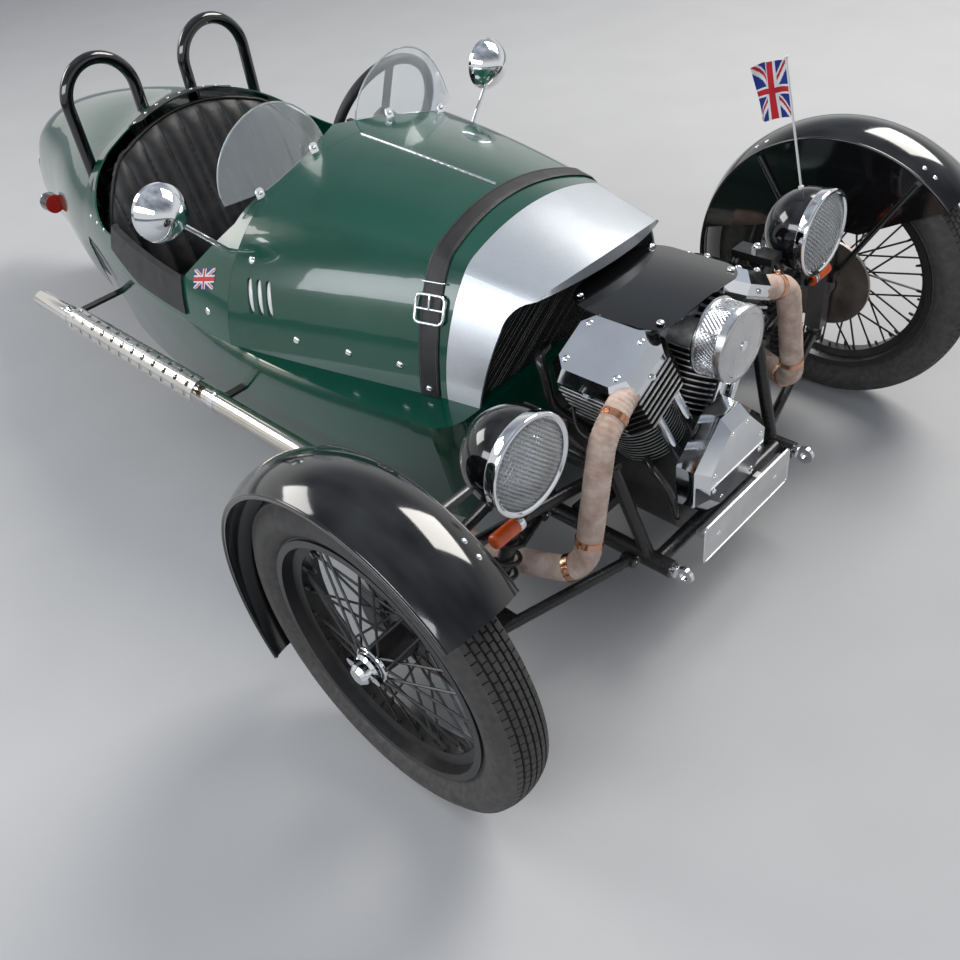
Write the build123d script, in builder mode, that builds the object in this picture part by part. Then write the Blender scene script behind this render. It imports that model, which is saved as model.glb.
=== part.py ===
from build123d import *
import math
import os

# Open two-seat three-wheeler: two steered wheels in front, one driven wheel under the tail.
# Millimetres. X points forward, Y to the car's left, Z up; Z = 0 is the road.

# Overall layout
wheelbase = 2350.0
front_track = 1598.0
front_reach = 341.0
tail_reach = 2884.0
front_axle_x = (front_reach + tail_reach) / 2 - front_reach
rear_axle_x = front_axle_x - wheelbase
tail_end_x = front_axle_x - tail_reach
running_gap = 6.0
seat_gap = 0.3

# Front wheels
front_tyre_radius = 341.0
front_tyre_width = 108.0
rim_radius = 254.0
rim_half_width = 42.0
rim_thickness = 5.0
rim_well_depth = 26.0
spoke_radius = 2.6
spokes_per_flange = 20
hub_radius = 34.0
hub_half_length = 46.0
hub_bore = 16.0
spinner_radius = 30.0
spinner_length = 34.0
spinner_ear = 44.0
disc_radius = 116.0
disc_thickness = 9.0
disc_inset = 66.0
kingpin_inset = 98.0

# Rear wheel
rear_tyre_radius = 310.0
rear_tyre_width = 195.0
rear_rim_radius = 203.0
rear_rim_half_width = 84.0
rear_hub_radius = 48.0
rear_spoke_count = 5

# Cycle wings over the front wheels
wing_radius = 395.0
wing_half_width = 76.0
wing_crown = 24.0
wing_thickness = 4.0
wing_front_angle = 44.0
wing_rear_angle = -31.0
wing_lip = 9.0

# Body
floor_z = 190.0
floor_thickness = 6.0
waist_front_z = 470.0
waist_rise = 0.045
hull_front_x = 1044.0
hull_wall = 24.0
hull_front_half_width = 350.0
hull_corner_x = 1000.0
hull_corner_y = 428.0
hull_belly_x = 230.0
hull_belly_y = 488.0
hull_rear_x = -436.0
hull_rear_y = 392.0
hull_floor_share = 0.86
panel = 5.0
flank_share_y = 0.65
shoulder_share = 0.4
flank_share_z = 0.60
cowl_rear_x = 966.0
bonnet_rear_x = 408.0
panel_joint = 0.8
scuttle_peak_x = 318.0
scallop_x = 386.0
scallop_y = 205.0
scallop_side_x = 366.0
scallop_side_y = 372.0
sill_z = 592.0
sill_front_x = 205.0
sill_rear_x = -150.0
opening_rear_x = -392.0
rim_length = 46.0
rim_stand = 9.0

# Front frame, suspension and steering
frame_tube_radius = 19.0
frame_half_width = 236.0
frame_low_z = 207.0
frame_high_z = 430.0
frame_front_x = 1478.0
arm_tube_radius = 12.0
low_ball_z = 205.0
high_ball_z = 452.0
ball_clearance = 0.4
rack_x_offset = -135.0
rack_z = 396.0
rack_clearance = 5.0
rack_radius = 11.0
rack_housing_radius = 15.0
rack_eye_radius = 14.0
spring_radius = 32.0
spring_wire = 5.0
spring_turns = 7
damper_radius = 17.0

# Engine
crank_z = 268.0
engine_x = 1290.0
vee_half_angle = 28.0
crankcase_length = 230.0
crankcase_radius = 135.0
barrel_base = 118.0
barrel_top = 285.0
barrel_radius = 56.0
fin_radius = 82.0
fin_thickness = 3.0
fin_pitch = 12.0
head_top = 380.0
head_width = 176.0
head_length = 206.0
rocker_top = 428.0

# Exhaust
header_radius = 27.0
pipe_radius = 25.0
pipe_y = 530.0
pipe_z = 336.0
pipe_tip_x = -600.0
pipe_wall = 2.0
pipe_clip_overhang = 60.0
pipe_clip_inner_y = 400.0
pipe_clip_length = 24.0
pipe_clip_height = 8.0
shield_front_x = 280.0
shield_rear_x = -356.0
shield_gap = 14.0
shield_wall = 2.0
shield_hole_radius = 8.0
shield_hole_columns = 12
shield_hole_angles = (20.0, 55.0, 90.0)

# Lamps, mirrors, hoops
lamp_x = 1342.0
lamp_y = 495.0
lamp_z = 600.0
lamp_radius = 92.0
lamp_depth = 138.0
bezel_length = 26.0
bezel_radius = 98.0
lens_dome = 22.0
mirror_base = (378.0, 398.0, 694.0)
mirror_head = (350.0, 515.0, 828.0)
mirror_radius = 64.0
mirror_depth = 58.0
hoop_x = -462.0
hoop_inner_y = 84.0
hoop_outer_y = 294.0
hoop_top_z = 951.0
hoop_radius = 17.5
hoop_foot_z = 560.0


os.makedirs("parts", exist_ok=True)


def save(part, name):
    part.label = name
    export_step(part, f"parts/{name}.step")


def side_name(side):
    return "left" if side > 0 else "right"


def rod(start, end, radius):
    # A round bar between two points.
    run = Vector(*end) - Vector(*start)
    with BuildPart() as bar:
        with BuildSketch(Plane(origin=start, z_dir=run)):
            Circle(radius)
        extrude(amount=run.length)
    return bar.part


def tube_path(points, bend_radius, radius):
    # A round tube along straight runs joined by tangent bends.
    with BuildLine() as path:
        FilletPolyline(*points, radius=bend_radius)
    first = Vector(*points[1]) - Vector(*points[0])
    with BuildPart() as tube:
        with BuildSketch(Plane(origin=points[0], z_dir=first)):
            Circle(radius)
        sweep(path=path.wires()[0])
    return tube.part


def polar(radius, angle):
    return (radius * math.cos(math.radians(angle)), radius * math.sin(math.radians(angle)))


def waist_z(x):
    return waist_front_z + waist_rise * (hull_front_x - x)


def seat_z(x):
    # Foot of the upper panels, one seating gap above the hull's ledge.
    return waist_z(x) + seat_gap


# Body cross-sections. Columns: x, waist_y, waist_z, shoulder_y, shoulder_z, crown_z.
bonnet_rows = (
    (bonnet_rear_x + panel_joint, 482.0, seat_z(bonnet_rear_x), 319.0, 769.0, 833.0),
    (700.0, 402.0, seat_z(700), 268.0, 762.0, 812.0),
    (cowl_rear_x, 322.0, seat_z(cowl_rear_x), 213.0, 742.0, 788.0),
)
cockpit_rows = (
    (hull_rear_x, 390.0, seat_z(hull_rear_x), 215.0, 742.0, 797.0),
    (0.0, 470.0, seat_z(0), 310.0, 776.0, 838.0),
    (bonnet_rear_x, 482.0, seat_z(bonnet_rear_x), 319.0, 769.0, 833.0),
)
# Tail cross-sections. Columns: x, bottom_y, bottom_z, waist_y, waist_z, shoulder_y, shoulder_z, crown_z.
tail_rows = (
    (hull_rear_x - panel_joint, 330.0, 192.0, 390.0, 500.0, 215.0, 742.0, 797.0),
    (-700.0, 272.0, 215.0, 325.0, 470.0, 180.0, 715.0, 768.0),
    (-900.0, 218.0, 240.0, 260.0, 435.0, 150.0, 680.0, 734.0),
    (-1120.0, 165.0, 262.0, 190.0, 385.0, 124.0, 625.0, 676.0),
    (-1300.0, 122.0, 275.0, 138.0, 350.0, 98.0, 545.0, 592.0),
    (-1450.0, 78.0, 285.0, 90.0, 335.0, 64.0, 440.0, 480.0),
    (tail_end_x, 22.0, 300.0, 26.0, 330.0, 18.0, 375.0, 390.0),
)


def upper_section(row, inset=0.0, drop=0.0):
    # One closed section above the waist, in the plane across the car at its x.
    x, waist_y, base_z, shoulder_y, shoulder_z, crown_z = row
    side_y = waist_y - inset
    top_y = shoulder_y - 0.5 * inset
    top_z = shoulder_z - 0.85 * inset
    crown = crown_z - inset
    base = base_z - drop
    mid_y = top_y + flank_share_y * (side_y - top_y)
    mid_z = base_z + flank_share_z * (top_z - base_z)
    with BuildSketch(Plane(origin=(x, 0, 0), x_dir=(0, 1, 0), z_dir=(1, 0, 0))) as sketch:
        with BuildLine():
            Line((-side_y, base), (side_y, base))
            if drop > 0:
                Line((side_y, base), (side_y, base_z))
                Line((-side_y, base), (-side_y, base_z))
            ThreePointArc((side_y, base_z), (mid_y, mid_z), (top_y, top_z))
            ThreePointArc((top_y, top_z), (0, crown), (-top_y, top_z))
            ThreePointArc((-top_y, top_z), (-mid_y, mid_z), (-side_y, base_z))
        make_face()
        shoulders = sketch.vertices().filter_by(lambda corner: abs(corner.Y - top_z) < 0.01)
        fillet(shoulders, shoulder_share * shoulder_y)
    return sketch.sketch


def tail_section(row, inset=0.0, drop=0.0):
    # One closed section of the tail with its lower flanks.
    x, bottom_y, bottom_z, waist_y, base_z, shoulder_y, shoulder_z, crown_z = row
    low_y = bottom_y - inset
    low_z = bottom_z - drop
    side_y = waist_y - inset
    top_y = shoulder_y - 0.5 * inset
    top_z = shoulder_z - 0.85 * inset
    crown = crown_z - inset
    mid_y = top_y + flank_share_y * (side_y - top_y)
    mid_z = base_z + flank_share_z * (top_z - base_z)
    bulge_y = 0.3 * low_y + 0.7 * side_y
    bulge_z = 0.5 * (low_z + base_z)
    with BuildSketch(Plane(origin=(x, 0, 0), x_dir=(0, 1, 0), z_dir=(1, 0, 0))) as sketch:
        with BuildLine():
            Line((-low_y, low_z), (low_y, low_z))
            ThreePointArc((low_y, low_z), (bulge_y, bulge_z), (side_y, base_z))
            ThreePointArc((side_y, base_z), (mid_y, mid_z), (top_y, top_z))
            ThreePointArc((top_y, top_z), (0, crown), (-top_y, top_z))
            ThreePointArc((-top_y, top_z), (-mid_y, mid_z), (-side_y, base_z))
            ThreePointArc((-side_y, base_z), (-bulge_y, bulge_z), (-low_y, low_z))
        make_face()
        shoulders = sketch.vertices().filter_by(lambda corner: abs(corner.Y - top_z) < 0.01)
        fillet(shoulders, shoulder_share * shoulder_y)
    return sketch.sketch


def stretched(rows, reach):
    # The same rows with the first and last moved outwards, for a cut that runs past both ends.
    first, last = rows[0], rows[-1]
    step = reach if last[0] > first[0] else -reach
    return ((first[0] - step,) + first[1:],) + tuple(rows[1:-1]) + ((last[0] + step,) + last[1:],)


def hull_outline(z, share, inset=0.0):
    # Plan of the lower hull at one height; share narrows it towards the floor.
    rear = (hull_rear_x, hull_rear_y * share - inset)
    belly = (hull_belly_x, hull_belly_y * share - inset)
    corner = (hull_corner_x - inset, hull_corner_y * share - inset)
    nose = (hull_front_x - inset, hull_front_half_width * share - inset)
    bend = (corner[0] + 0.72 * (nose[0] - corner[0]), nose[1] + 0.64 * (corner[1] - nose[1]))
    with BuildSketch(Plane.XY.offset(z)) as sketch:
        with BuildLine():
            ThreePointArc(rear, belly, corner)
            ThreePointArc(corner, bend, nose)
            Line(nose, (nose[0], -nose[1]))
            ThreePointArc((nose[0], -nose[1]), (bend[0], -bend[1]), (corner[0], -corner[1]))
            ThreePointArc((corner[0], -corner[1]), (belly[0], -belly[1]), (rear[0], -rear[1]))
            Line((rear[0], -rear[1]), rear)
        make_face()
    return sketch.sketch


def waist_plane(drop=0.0):
    return Plane(
        origin=(hull_front_x, 0, waist_front_z - drop), x_dir=(1, 0, -waist_rise), z_dir=(waist_rise, 0, 1)
    )


# Lower hull: thin-walled tub with a flat ledge round the bonnet's foot.
hull_top_z = waist_z(hull_rear_x) + 20.0
ledge_thickness = 5.0
ledge_land = 22.0
bellhousing_radius = 112.0
with BuildPart() as cavity:
    loft(
        (hull_outline(floor_z - 1, hull_floor_share, hull_wall), hull_outline(hull_top_z, 1.0, hull_wall)),
        ruled=True,
    )
    split(bisect_by=waist_plane(ledge_thickness), keep=Keep.BOTTOM)
bulkhead_thickness = 6.0
with BuildPart() as bulkhead:
    loft((hull_outline(floor_z, hull_floor_share), hull_outline(hull_top_z, 1.0)), ruled=True)
    split(bisect_by=waist_plane(), keep=Keep.BOTTOM)
    split(bisect_by=Plane.YZ.offset(hull_rear_x + bulkhead_thickness), keep=Keep.BOTTOM)
with BuildPart() as hull:
    loft((hull_outline(floor_z, hull_floor_share), hull_outline(hull_top_z, 1.0)), ruled=True)
    split(bisect_by=waist_plane(), keep=Keep.BOTTOM)
    add(cavity.part, mode=Mode.SUBTRACT)
    with BuildSketch(Plane.XY.offset(waist_front_z - 12)):
        with BuildLine():
            upper = [(row[0], row[1] - ledge_land) for row in cockpit_rows[:2]]
            upper += [(row[0], row[1] - ledge_land) for row in bonnet_rows]
            Polyline(*upper, *[(x, -y) for x, y in reversed(upper)], close=True)
        make_face()
    extrude(amount=hull_top_z, mode=Mode.SUBTRACT)
    add(hull_outline(floor_z, hull_floor_share, hull_wall - 1.0))
    extrude(amount=floor_thickness)
    add(bulkhead.part)
    with Locations(Plane(origin=(hull_front_x, 0, crank_z), z_dir=(1, 0, 0))):
        Cylinder(bellhousing_radius + running_gap, 3 * hull_wall, mode=Mode.SUBTRACT)
save(hull.part, "hull")


# Bonnet: one pressed lid with three slanted louvres on each flank.
louvre_x = 470.0
louvre_pitch = 26.0
louvre_length = 74.0
louvre_width = 15.0
louvre_z = 622.0
with BuildPart() as bonnet:
    loft([upper_section(row) for row in bonnet_rows])
    loft([upper_section(row, panel, 30.0) for row in stretched(bonnet_rows, 3.0)], mode=Mode.SUBTRACT)
    for index in range(3):
        slot_plane = Plane(
            origin=(louvre_x + louvre_pitch * index, 0, louvre_z), x_dir=(1, 0, 0), z_dir=(0, -1, 0)
        )
        with BuildSketch(slot_plane):
            SlotOverall(louvre_length, louvre_width, rotation=105)
        extrude(amount=hull_belly_y, both=True, mode=Mode.SUBTRACT)
save(bonnet.part, "bonnet")

# Nose cowl: rounded shell whose mouth leans forward over the engine.
nose_round_x = hull_front_x - 4.0
nose_tip_x = 1176.0
cowl_foot_x = 1024.0
nose_rows = (
    (cowl_rear_x + panel_joint, 322.0, seat_z(cowl_rear_x), 213.0, 742.0, 788.0),
    (nose_tip_x + 10, 272.0, seat_z(nose_tip_x), 180.0, 700.0, 738.0),
)


def cowl_solid(inset, drop, reach):
    with BuildPart() as shape:
        loft([upper_section(row, inset, drop) for row in stretched(nose_rows, reach)])
        with BuildSketch(Plane.XY):
            with BuildLine():
                wide = 330.0 - inset
                Polyline(
                    (nose_round_x, -wide),
                    (cowl_rear_x - 20, -wide),
                    (cowl_rear_x - 20, wide),
                    (nose_round_x, wide),
                )
                ThreePointArc((nose_round_x, wide), (nose_tip_x - inset, 0), (nose_round_x, -wide))
            make_face()
        extrude(amount=900, mode=Mode.INTERSECT)
    return shape.part


with BuildPart() as nose_cowl:
    add(cowl_solid(0.0, 0.0, 0.0))
    add(cowl_solid(panel, 30.0, 3.0), mode=Mode.SUBTRACT)
    with BuildSketch(Plane.XZ):
        with BuildLine():
            Line((cowl_foot_x, 380), (cowl_foot_x + 52, 640))
            ThreePointArc((cowl_foot_x + 52, 640), (cowl_foot_x + 66, 676), (cowl_foot_x + 96, 694))
            Line((cowl_foot_x + 96, 694), (nose_tip_x + 30, 724))
            Line((nose_tip_x + 30, 724), (nose_tip_x + 30, 380))
            Line((nose_tip_x + 30, 380), (cowl_foot_x, 380))
        make_face()
    extrude(amount=500, both=True, mode=Mode.SUBTRACT)
save(nose_cowl.part, "nose_cowl")


def span_rows(rows, x_from, x_to, grow=0.0):
    # Rows between two stations, with the end rows worked out on straight lines between their neighbours.
    out = []
    for x in sorted((x_from, x_to)):
        for low, high in zip(rows[:-1], rows[1:]):
            if low[0] <= x <= high[0]:
                share = (x - low[0]) / (high[0] - low[0])
                row = [a + share * (b - a) for a, b in zip(low, high)]
                row[1] += grow
                row[5] += grow
                out.append(tuple(row))
                break
    return out


# Cockpit body: scuttle with two scallops, low sides and the rear arch.
opening_top_z = 900.0
with BuildPart() as cockpit_cut:
    with BuildSketch(Plane.XZ):
        with BuildLine():
            Line((sill_rear_x, sill_z + 20), (sill_front_x, sill_z))
            ThreePointArc(
                (sill_front_x, sill_z), (sill_front_x + 70, sill_z + 62), (scallop_side_x, sill_z + 150)
            )
            Line((scallop_side_x, sill_z + 150), (scallop_x + 30, opening_top_z))
            Line((scallop_x + 30, opening_top_z), (opening_rear_x, opening_top_z))
            Line((opening_rear_x, opening_top_z), (opening_rear_x, sill_z + 130))
            ThreePointArc(
                (opening_rear_x, sill_z + 130),
                (opening_rear_x + 60, sill_z + 46),
                (sill_rear_x, sill_z + 20),
            )
        make_face()
    extrude(amount=700, both=True)
    with BuildSketch(Plane.XY):
        with BuildLine():
            ThreePointArc((scuttle_peak_x, 0), (scallop_x, scallop_y), (scallop_side_x, scallop_side_y))
            Line((scallop_side_x, scallop_side_y), (scallop_side_x, 700))
            Line((scallop_side_x, 700), (opening_rear_x, 700))
            Line((opening_rear_x, 700), (opening_rear_x, -700))
            Line((opening_rear_x, -700), (scallop_side_x, -700))
            Line((scallop_side_x, -700), (scallop_side_x, -scallop_side_y))
            ThreePointArc((scallop_side_x, -scallop_side_y), (scallop_x, -scallop_y), (scuttle_peak_x, 0))
        make_face()
    extrude(amount=opening_top_z, mode=Mode.INTERSECT)
with BuildPart() as cockpit_body:
    loft([upper_section(row) for row in cockpit_rows])
    loft([upper_section(row, panel, 30.0) for row in stretched(cockpit_rows, 3.0)], mode=Mode.SUBTRACT)
    add(cockpit_cut.part, mode=Mode.SUBTRACT)
save(cockpit_body.part, "cockpit_body")

# Rolled rim round the rear of the opening.
rim_foot_z = sill_z + 60.0
with BuildPart() as cockpit_rim:
    rim_rows = span_rows(cockpit_rows, opening_rear_x - 8, opening_rear_x + rim_length - 8, rim_stand)
    loft([upper_section(row) for row in rim_rows])
    loft([upper_section(row, -seat_gap, 30.0) for row in stretched(cockpit_rows, 3.0)], mode=Mode.SUBTRACT)
    with BuildSketch(Plane.XY):
        Rectangle(2 * wheelbase, front_track)
    extrude(amount=rim_foot_z, mode=Mode.SUBTRACT)
save(cockpit_rim.part, "cockpit_rim")

# Tail: pointed shell over the rear wheel, open underneath.
tail_wall = 4.0
with BuildPart() as tail:
    loft([tail_section(row) for row in tail_rows])
    loft([tail_section(row, tail_wall, 60.0) for row in stretched(tail_rows, 3.0)[:-1]
          + ((tail_end_x + 12,) + tail_rows[-1][1:],)], mode=Mode.SUBTRACT)
    for side in (-1, 1):
        for leg_y in (hoop_inner_y, hoop_outer_y):
            with Locations((hoop_x, side * leg_y, hoop_foot_z)):
                Cylinder(
                    hoop_radius + 0.8, 400, align=(Align.CENTER, Align.CENTER, Align.MIN), mode=Mode.SUBTRACT
                )
save(tail.part, "tail")

# Roll hoops on a cross member inside the tail.
hoop_bend = (hoop_outer_y - hoop_inner_y) / 2
with BuildPart() as roll_hoops:
    for side in (-1, 1):
        middle_y = side * (hoop_inner_y + hoop_bend)
        with BuildLine() as hoop_path:
            Line(
                (hoop_x, middle_y - hoop_bend, hoop_foot_z),
                (hoop_x, middle_y - hoop_bend, hoop_top_z - hoop_bend),
            )
            ThreePointArc(
                (hoop_x, middle_y - hoop_bend, hoop_top_z - hoop_bend),
                (hoop_x, middle_y, hoop_top_z),
                (hoop_x, middle_y + hoop_bend, hoop_top_z - hoop_bend),
            )
            Line(
                (hoop_x, middle_y + hoop_bend, hoop_top_z - hoop_bend),
                (hoop_x, middle_y + hoop_bend, hoop_foot_z),
            )
        with BuildSketch(Plane(origin=(hoop_x, middle_y - hoop_bend, hoop_foot_z), z_dir=(0, 0, 1))):
            Circle(hoop_radius)
        sweep(path=hoop_path.wires()[0])
    with Locations((hoop_x, 0, hoop_foot_z)):
        Box(
            2 * (hull_rear_x - seat_gap - hoop_x),
            2 * (hoop_outer_y + 30),
            36,
            align=(Align.CENTER, Align.CENTER, Align.MAX),
        )
save(roll_hoops.part, "roll_hoops")

# Leather edge over each low side.
trim_stand = 6.0
trim_drop = 96.0
trim_front_x = 238.0
trim_rear_x = -168.0
with BuildPart() as side_trims:
    outer = [
        (row[0], row[1] + trim_stand, row[2], row[3] + trim_stand, row[4], row[5] + trim_stand)
        for row in cockpit_rows
    ]
    loft([upper_section(row) for row in outer])
    loft(
        [upper_section(row, panel + trim_stand, 30.0) for row in stretched(cockpit_rows, 3.0)],
        mode=Mode.SUBTRACT,
    )
    with BuildSketch(Plane.XZ):
        with BuildLine():
            Line((trim_rear_x, sill_z + 40), (sill_rear_x + 4, sill_z + 34))
            Line((sill_rear_x + 4, sill_z + 34), (sill_front_x - 6, sill_z + 14))
            Line((sill_front_x - 6, sill_z + 14), (trim_front_x - 12, sill_z + 28))
            Line((trim_front_x - 12, sill_z + 28), (trim_front_x, sill_z - 0.86 * trim_drop + 18))
            Line((trim_front_x, sill_z - 0.86 * trim_drop + 18), (0, sill_z - 0.6 * trim_drop))
            Line((0, sill_z - 0.6 * trim_drop), (trim_rear_x, sill_z - 16))
            Line((trim_rear_x, sill_z - 16), (trim_rear_x, sill_z + 40))
        make_face()
    extrude(amount=700, both=True, mode=Mode.INTERSECT)
    add(cockpit_body.part, mode=Mode.SUBTRACT)
save(side_trims.part, "side_trims")

# Seat: one bench cushion and an arched squab with shallow channels.
seat_half_width = 378.0
seat_rear_half_width = 300.0
seat_front_x = 190.0
seat_rear_x = -330.0
seat_base_z = floor_z + floor_thickness + seat_gap
seat_height = 150.0
squab_thickness = 78.0
with BuildPart() as seat_base:
    with BuildSketch(Plane.XY.offset(seat_base_z)):
        with BuildLine():
            Polyline(
                (seat_rear_x, -seat_rear_half_width), (seat_rear_x, seat_rear_half_width),
                (seat_front_x, seat_half_width), (seat_front_x, -seat_half_width), close=True
            )
        make_face()
    extrude(amount=seat_height)
    fillet(seat_base.edges().group_by(Axis.Z)[-1], 26)
save(seat_base.part, "seat_base")
squab_low_x = -232.0
squab_high_x = -368.0
with BuildPart() as seat_back:
    loft([upper_section(row, panel + 14.0, 0.0) for row in cockpit_rows])
    with BuildSketch(Plane.XZ):
        with BuildLine():
            Polyline(
                (squab_low_x, seat_base_z + seat_height + 1),
                (squab_high_x, 830),
                (squab_high_x - squab_thickness * 0.6, 830),
                (squab_low_x - squab_thickness, seat_base_z + seat_height + 1),
                close=True,
            )
        make_face()
    extrude(amount=700, both=True, mode=Mode.INTERSECT)
save(seat_back.part, "seat_back")

# Steering column line.
column_lean = 22.0
wheel_centre = (203.0, 250.0, 745.0)
steering_radius = 170.0
grip_radius = 13.0
column_radius = 12.0
column_gap = 0.5
column_end_x = 430.0
lean = math.radians(column_lean)
column_dir = (math.cos(lean), 0, -math.sin(lean))
column_end = (
    column_end_x,
    wheel_centre[1],
    wheel_centre[2] - (column_end_x - wheel_centre[0]) * math.tan(lean),
)

# Dashboard under the scuttle, with two dials.
dash_x = 392.0
dash_thickness = 8.0
dash_low_z = 650.0
with BuildPart() as dashboard:
    loft([upper_section(row, panel + seat_gap) for row in cockpit_rows])
    with BuildSketch(Plane.XZ):
        with Locations((dash_x + dash_thickness / 2, dash_low_z)):
            Rectangle(dash_thickness, 400, align=(Align.CENTER, Align.MIN))
    extrude(amount=hull_belly_y, both=True, mode=Mode.INTERSECT)
    for dial_y in (150.0, -40.0):
        with BuildSketch(Plane(origin=(dash_x, dial_y, 720), x_dir=(0, 1, 0), z_dir=(-1, 0, 0))):
            Circle(46)
        extrude(amount=12)
    add(rod(wheel_centre, column_end, column_radius + column_gap), mode=Mode.SUBTRACT)
save(dashboard.part, "dashboard")

# Two small curved aeroscreens standing on the scallops.
screen_thickness = 4.0
screen_radius = 300.0
screen_foot_z = 792.0
screen_height = 172.0
screen_half_width = 158.0
screen_lean = 14.0
screen_x = scallop_x + 10.0


def aeroscreen(side):
    lean = math.radians(screen_lean)
    up = (-math.sin(lean), 0, math.cos(lean))
    ahead = (math.cos(lean), 0, math.sin(lean))
    foot = (screen_x, side * scallop_y, screen_foot_z)
    with BuildPart() as sheet:
        with BuildSketch(Plane(origin=foot, x_dir=ahead, z_dir=up)):
            with Locations((-screen_radius, 0)):
                Circle(screen_radius)
                Circle(screen_radius - screen_thickness, mode=Mode.SUBTRACT)
        extrude(amount=screen_height)
        with BuildSketch(Plane(origin=foot, x_dir=(0, 1, 0), z_dir=ahead)):
            with BuildLine():
                Line((-screen_half_width, 0), (screen_half_width, 0))
                ThreePointArc(
                    (screen_half_width, 0),
                    (0.8 * screen_half_width, 0.62 * screen_height),
                    (0, screen_height),
                )
                ThreePointArc(
                    (0, screen_height),
                    (-0.8 * screen_half_width, 0.62 * screen_height),
                    (-screen_half_width, 0),
                )
            make_face()
        extrude(amount=screen_radius / 2, both=True, mode=Mode.INTERSECT)
    return sheet.part


with BuildPart() as aeroscreens:
    add(aeroscreen(-1))
    add(aeroscreen(1))
    loft([upper_section(row, -seat_gap, 30.0) for row in stretched(cockpit_rows, 3.0)], mode=Mode.SUBTRACT)
    loft([upper_section(row, -seat_gap, 30.0) for row in stretched(bonnet_rows, 3.0)], mode=Mode.SUBTRACT)
save(aeroscreens.part, "aeroscreens")


# Door mirrors on bent stems.
mirror_stem_radius = 5.5
with BuildPart() as mirrors:
    for side in (-1, 1):
        foot = (mirror_base[0], side * mirror_base[1], mirror_base[2])
        head = (mirror_head[0], side * mirror_head[1], mirror_head[2])
        neck = (head[0] + 0.35 * mirror_depth, head[1], head[2])
        add(rod(foot, neck, mirror_stem_radius))
        with BuildSketch(Plane(origin=head, x_dir=(1, 0, 0), z_dir=(0, -1, 0))):
            with BuildLine():
                Line((-6, 0), (-6, mirror_radius))
                Line((-6, mirror_radius), (4, mirror_radius))
                ThreePointArc(
                    (4, mirror_radius), (0.62 * mirror_depth, 0.66 * mirror_radius), (mirror_depth, 0)
                )
                Line((mirror_depth, 0), (-6, 0))
            make_face()
        revolve(axis=Axis(head, (1, 0, 0)))
    loft([upper_section(row, -seat_gap, 30.0) for row in stretched(cockpit_rows, 3.0)], mode=Mode.SUBTRACT)
save(mirrors.part, "mirrors")

# Front tubular frame: low and high rails, cross tubes, spring towers, lamp arms and the rack's housing.
mount_x_low = 120.0
mount_x_high = 72.0
high_half_width = 262.0
high_tube_radius = 16.0
spring_top_y = 372.0
tower_low_z = 571.0
tower_thickness = 18.0
tower_reach = 50.0
tower_z = tower_low_z + tower_thickness / 2
front_cross_x = frame_front_x - 40.0
cross_tube_radius = 16.0
rack_x = front_axle_x + rack_x_offset
lamp_pad_x = lamp_x - 22.0
lamp_pad_z = lamp_z - lamp_radius - 12.0
indicator_x = 1338.0
indicator_y = 511.0
indicator_z = 470.0
indicator_radius = 15.0
indicator_length = 74.0
eye_radius = 20.0
eye_bore = 9.0
with BuildPart() as front_frame:
    for side in (-1, 1):
        low = side * frame_half_width
        high = side * high_half_width
        tower = (front_axle_x, side * spring_top_y, tower_z)
        high_front_x = front_axle_x + mount_x_high + 8
        high_rear_x = front_axle_x - mount_x_high - 8
        add(
            rod(
                (hull_front_x + seat_gap, low, frame_low_z),
                (frame_front_x, low, frame_low_z),
                frame_tube_radius,
            )
        )
        add(
            rod(
                (hull_front_x + seat_gap, high, frame_high_z),
                (high_front_x + 12, high, frame_high_z),
                high_tube_radius,
            )
        )
        add(
            rod(
                (high_front_x, high, frame_high_z), (front_axle_x + mount_x_low + 30, low, frame_low_z), 14.0
            )
        )
        add(rod((high_rear_x, high, frame_high_z), (front_axle_x - mount_x_low, low, frame_low_z), 14.0))
        for brace_x in (-50.0, 40.0):
            tower_end_x = tower[0] + math.copysign(tower_reach - 12, brace_x)
            add(rod((front_axle_x + brace_x, high, frame_high_z), (tower_end_x, tower[1], tower[2]), 10.0))
        with Locations(tower):
            Box(2 * tower_reach, 46, tower_thickness)
        lamp_elbow = (tower[0] + tower_reach - 6, side * (spring_top_y + 58), lamp_pad_z + 4)
        add(rod((tower[0] + tower_reach - 6, tower[1], tower_low_z + 4), lamp_elbow, 8.0))
        add(rod(lamp_elbow, (lamp_pad_x, side * lamp_y, lamp_pad_z - 22), 8.0))
        with Locations((lamp_pad_x, side * lamp_y, lamp_pad_z)):
            Cylinder(14, 30, align=(Align.CENTER, Align.CENTER, Align.MAX))
        add(
            rod((lamp_pad_x, side * lamp_y, indicator_z), (indicator_x + 6, side * lamp_y, indicator_z), 6.0)
        )
        add(rod(
            (indicator_x, side * (lamp_y - 6), indicator_z), (
                indicator_x, side * (indicator_y - seat_gap), indicator_z
            ), 6.0
        ))
    add(
        rod(
            (front_cross_x, -frame_half_width, frame_low_z),
            (front_cross_x, frame_half_width, frame_low_z),
            cross_tube_radius,
        )
    )
    add(
        rod(
            (rack_x, -high_half_width - 4, rack_z),
            (rack_x, high_half_width + 4, rack_z),
            rack_housing_radius,
        )
    )
    for side in (-1, 1):
        with Locations((rack_x, side * (high_half_width - 8), frame_high_z - 22)):
            Box(24, 22, 26)
    add(
        rod(
            (rack_x, -high_half_width - 60, rack_z),
            (rack_x, high_half_width + 60, rack_z),
            rack_radius + seat_gap,
        ),
        mode=Mode.SUBTRACT,
    )
save(front_frame.part, "front_frame")

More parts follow.
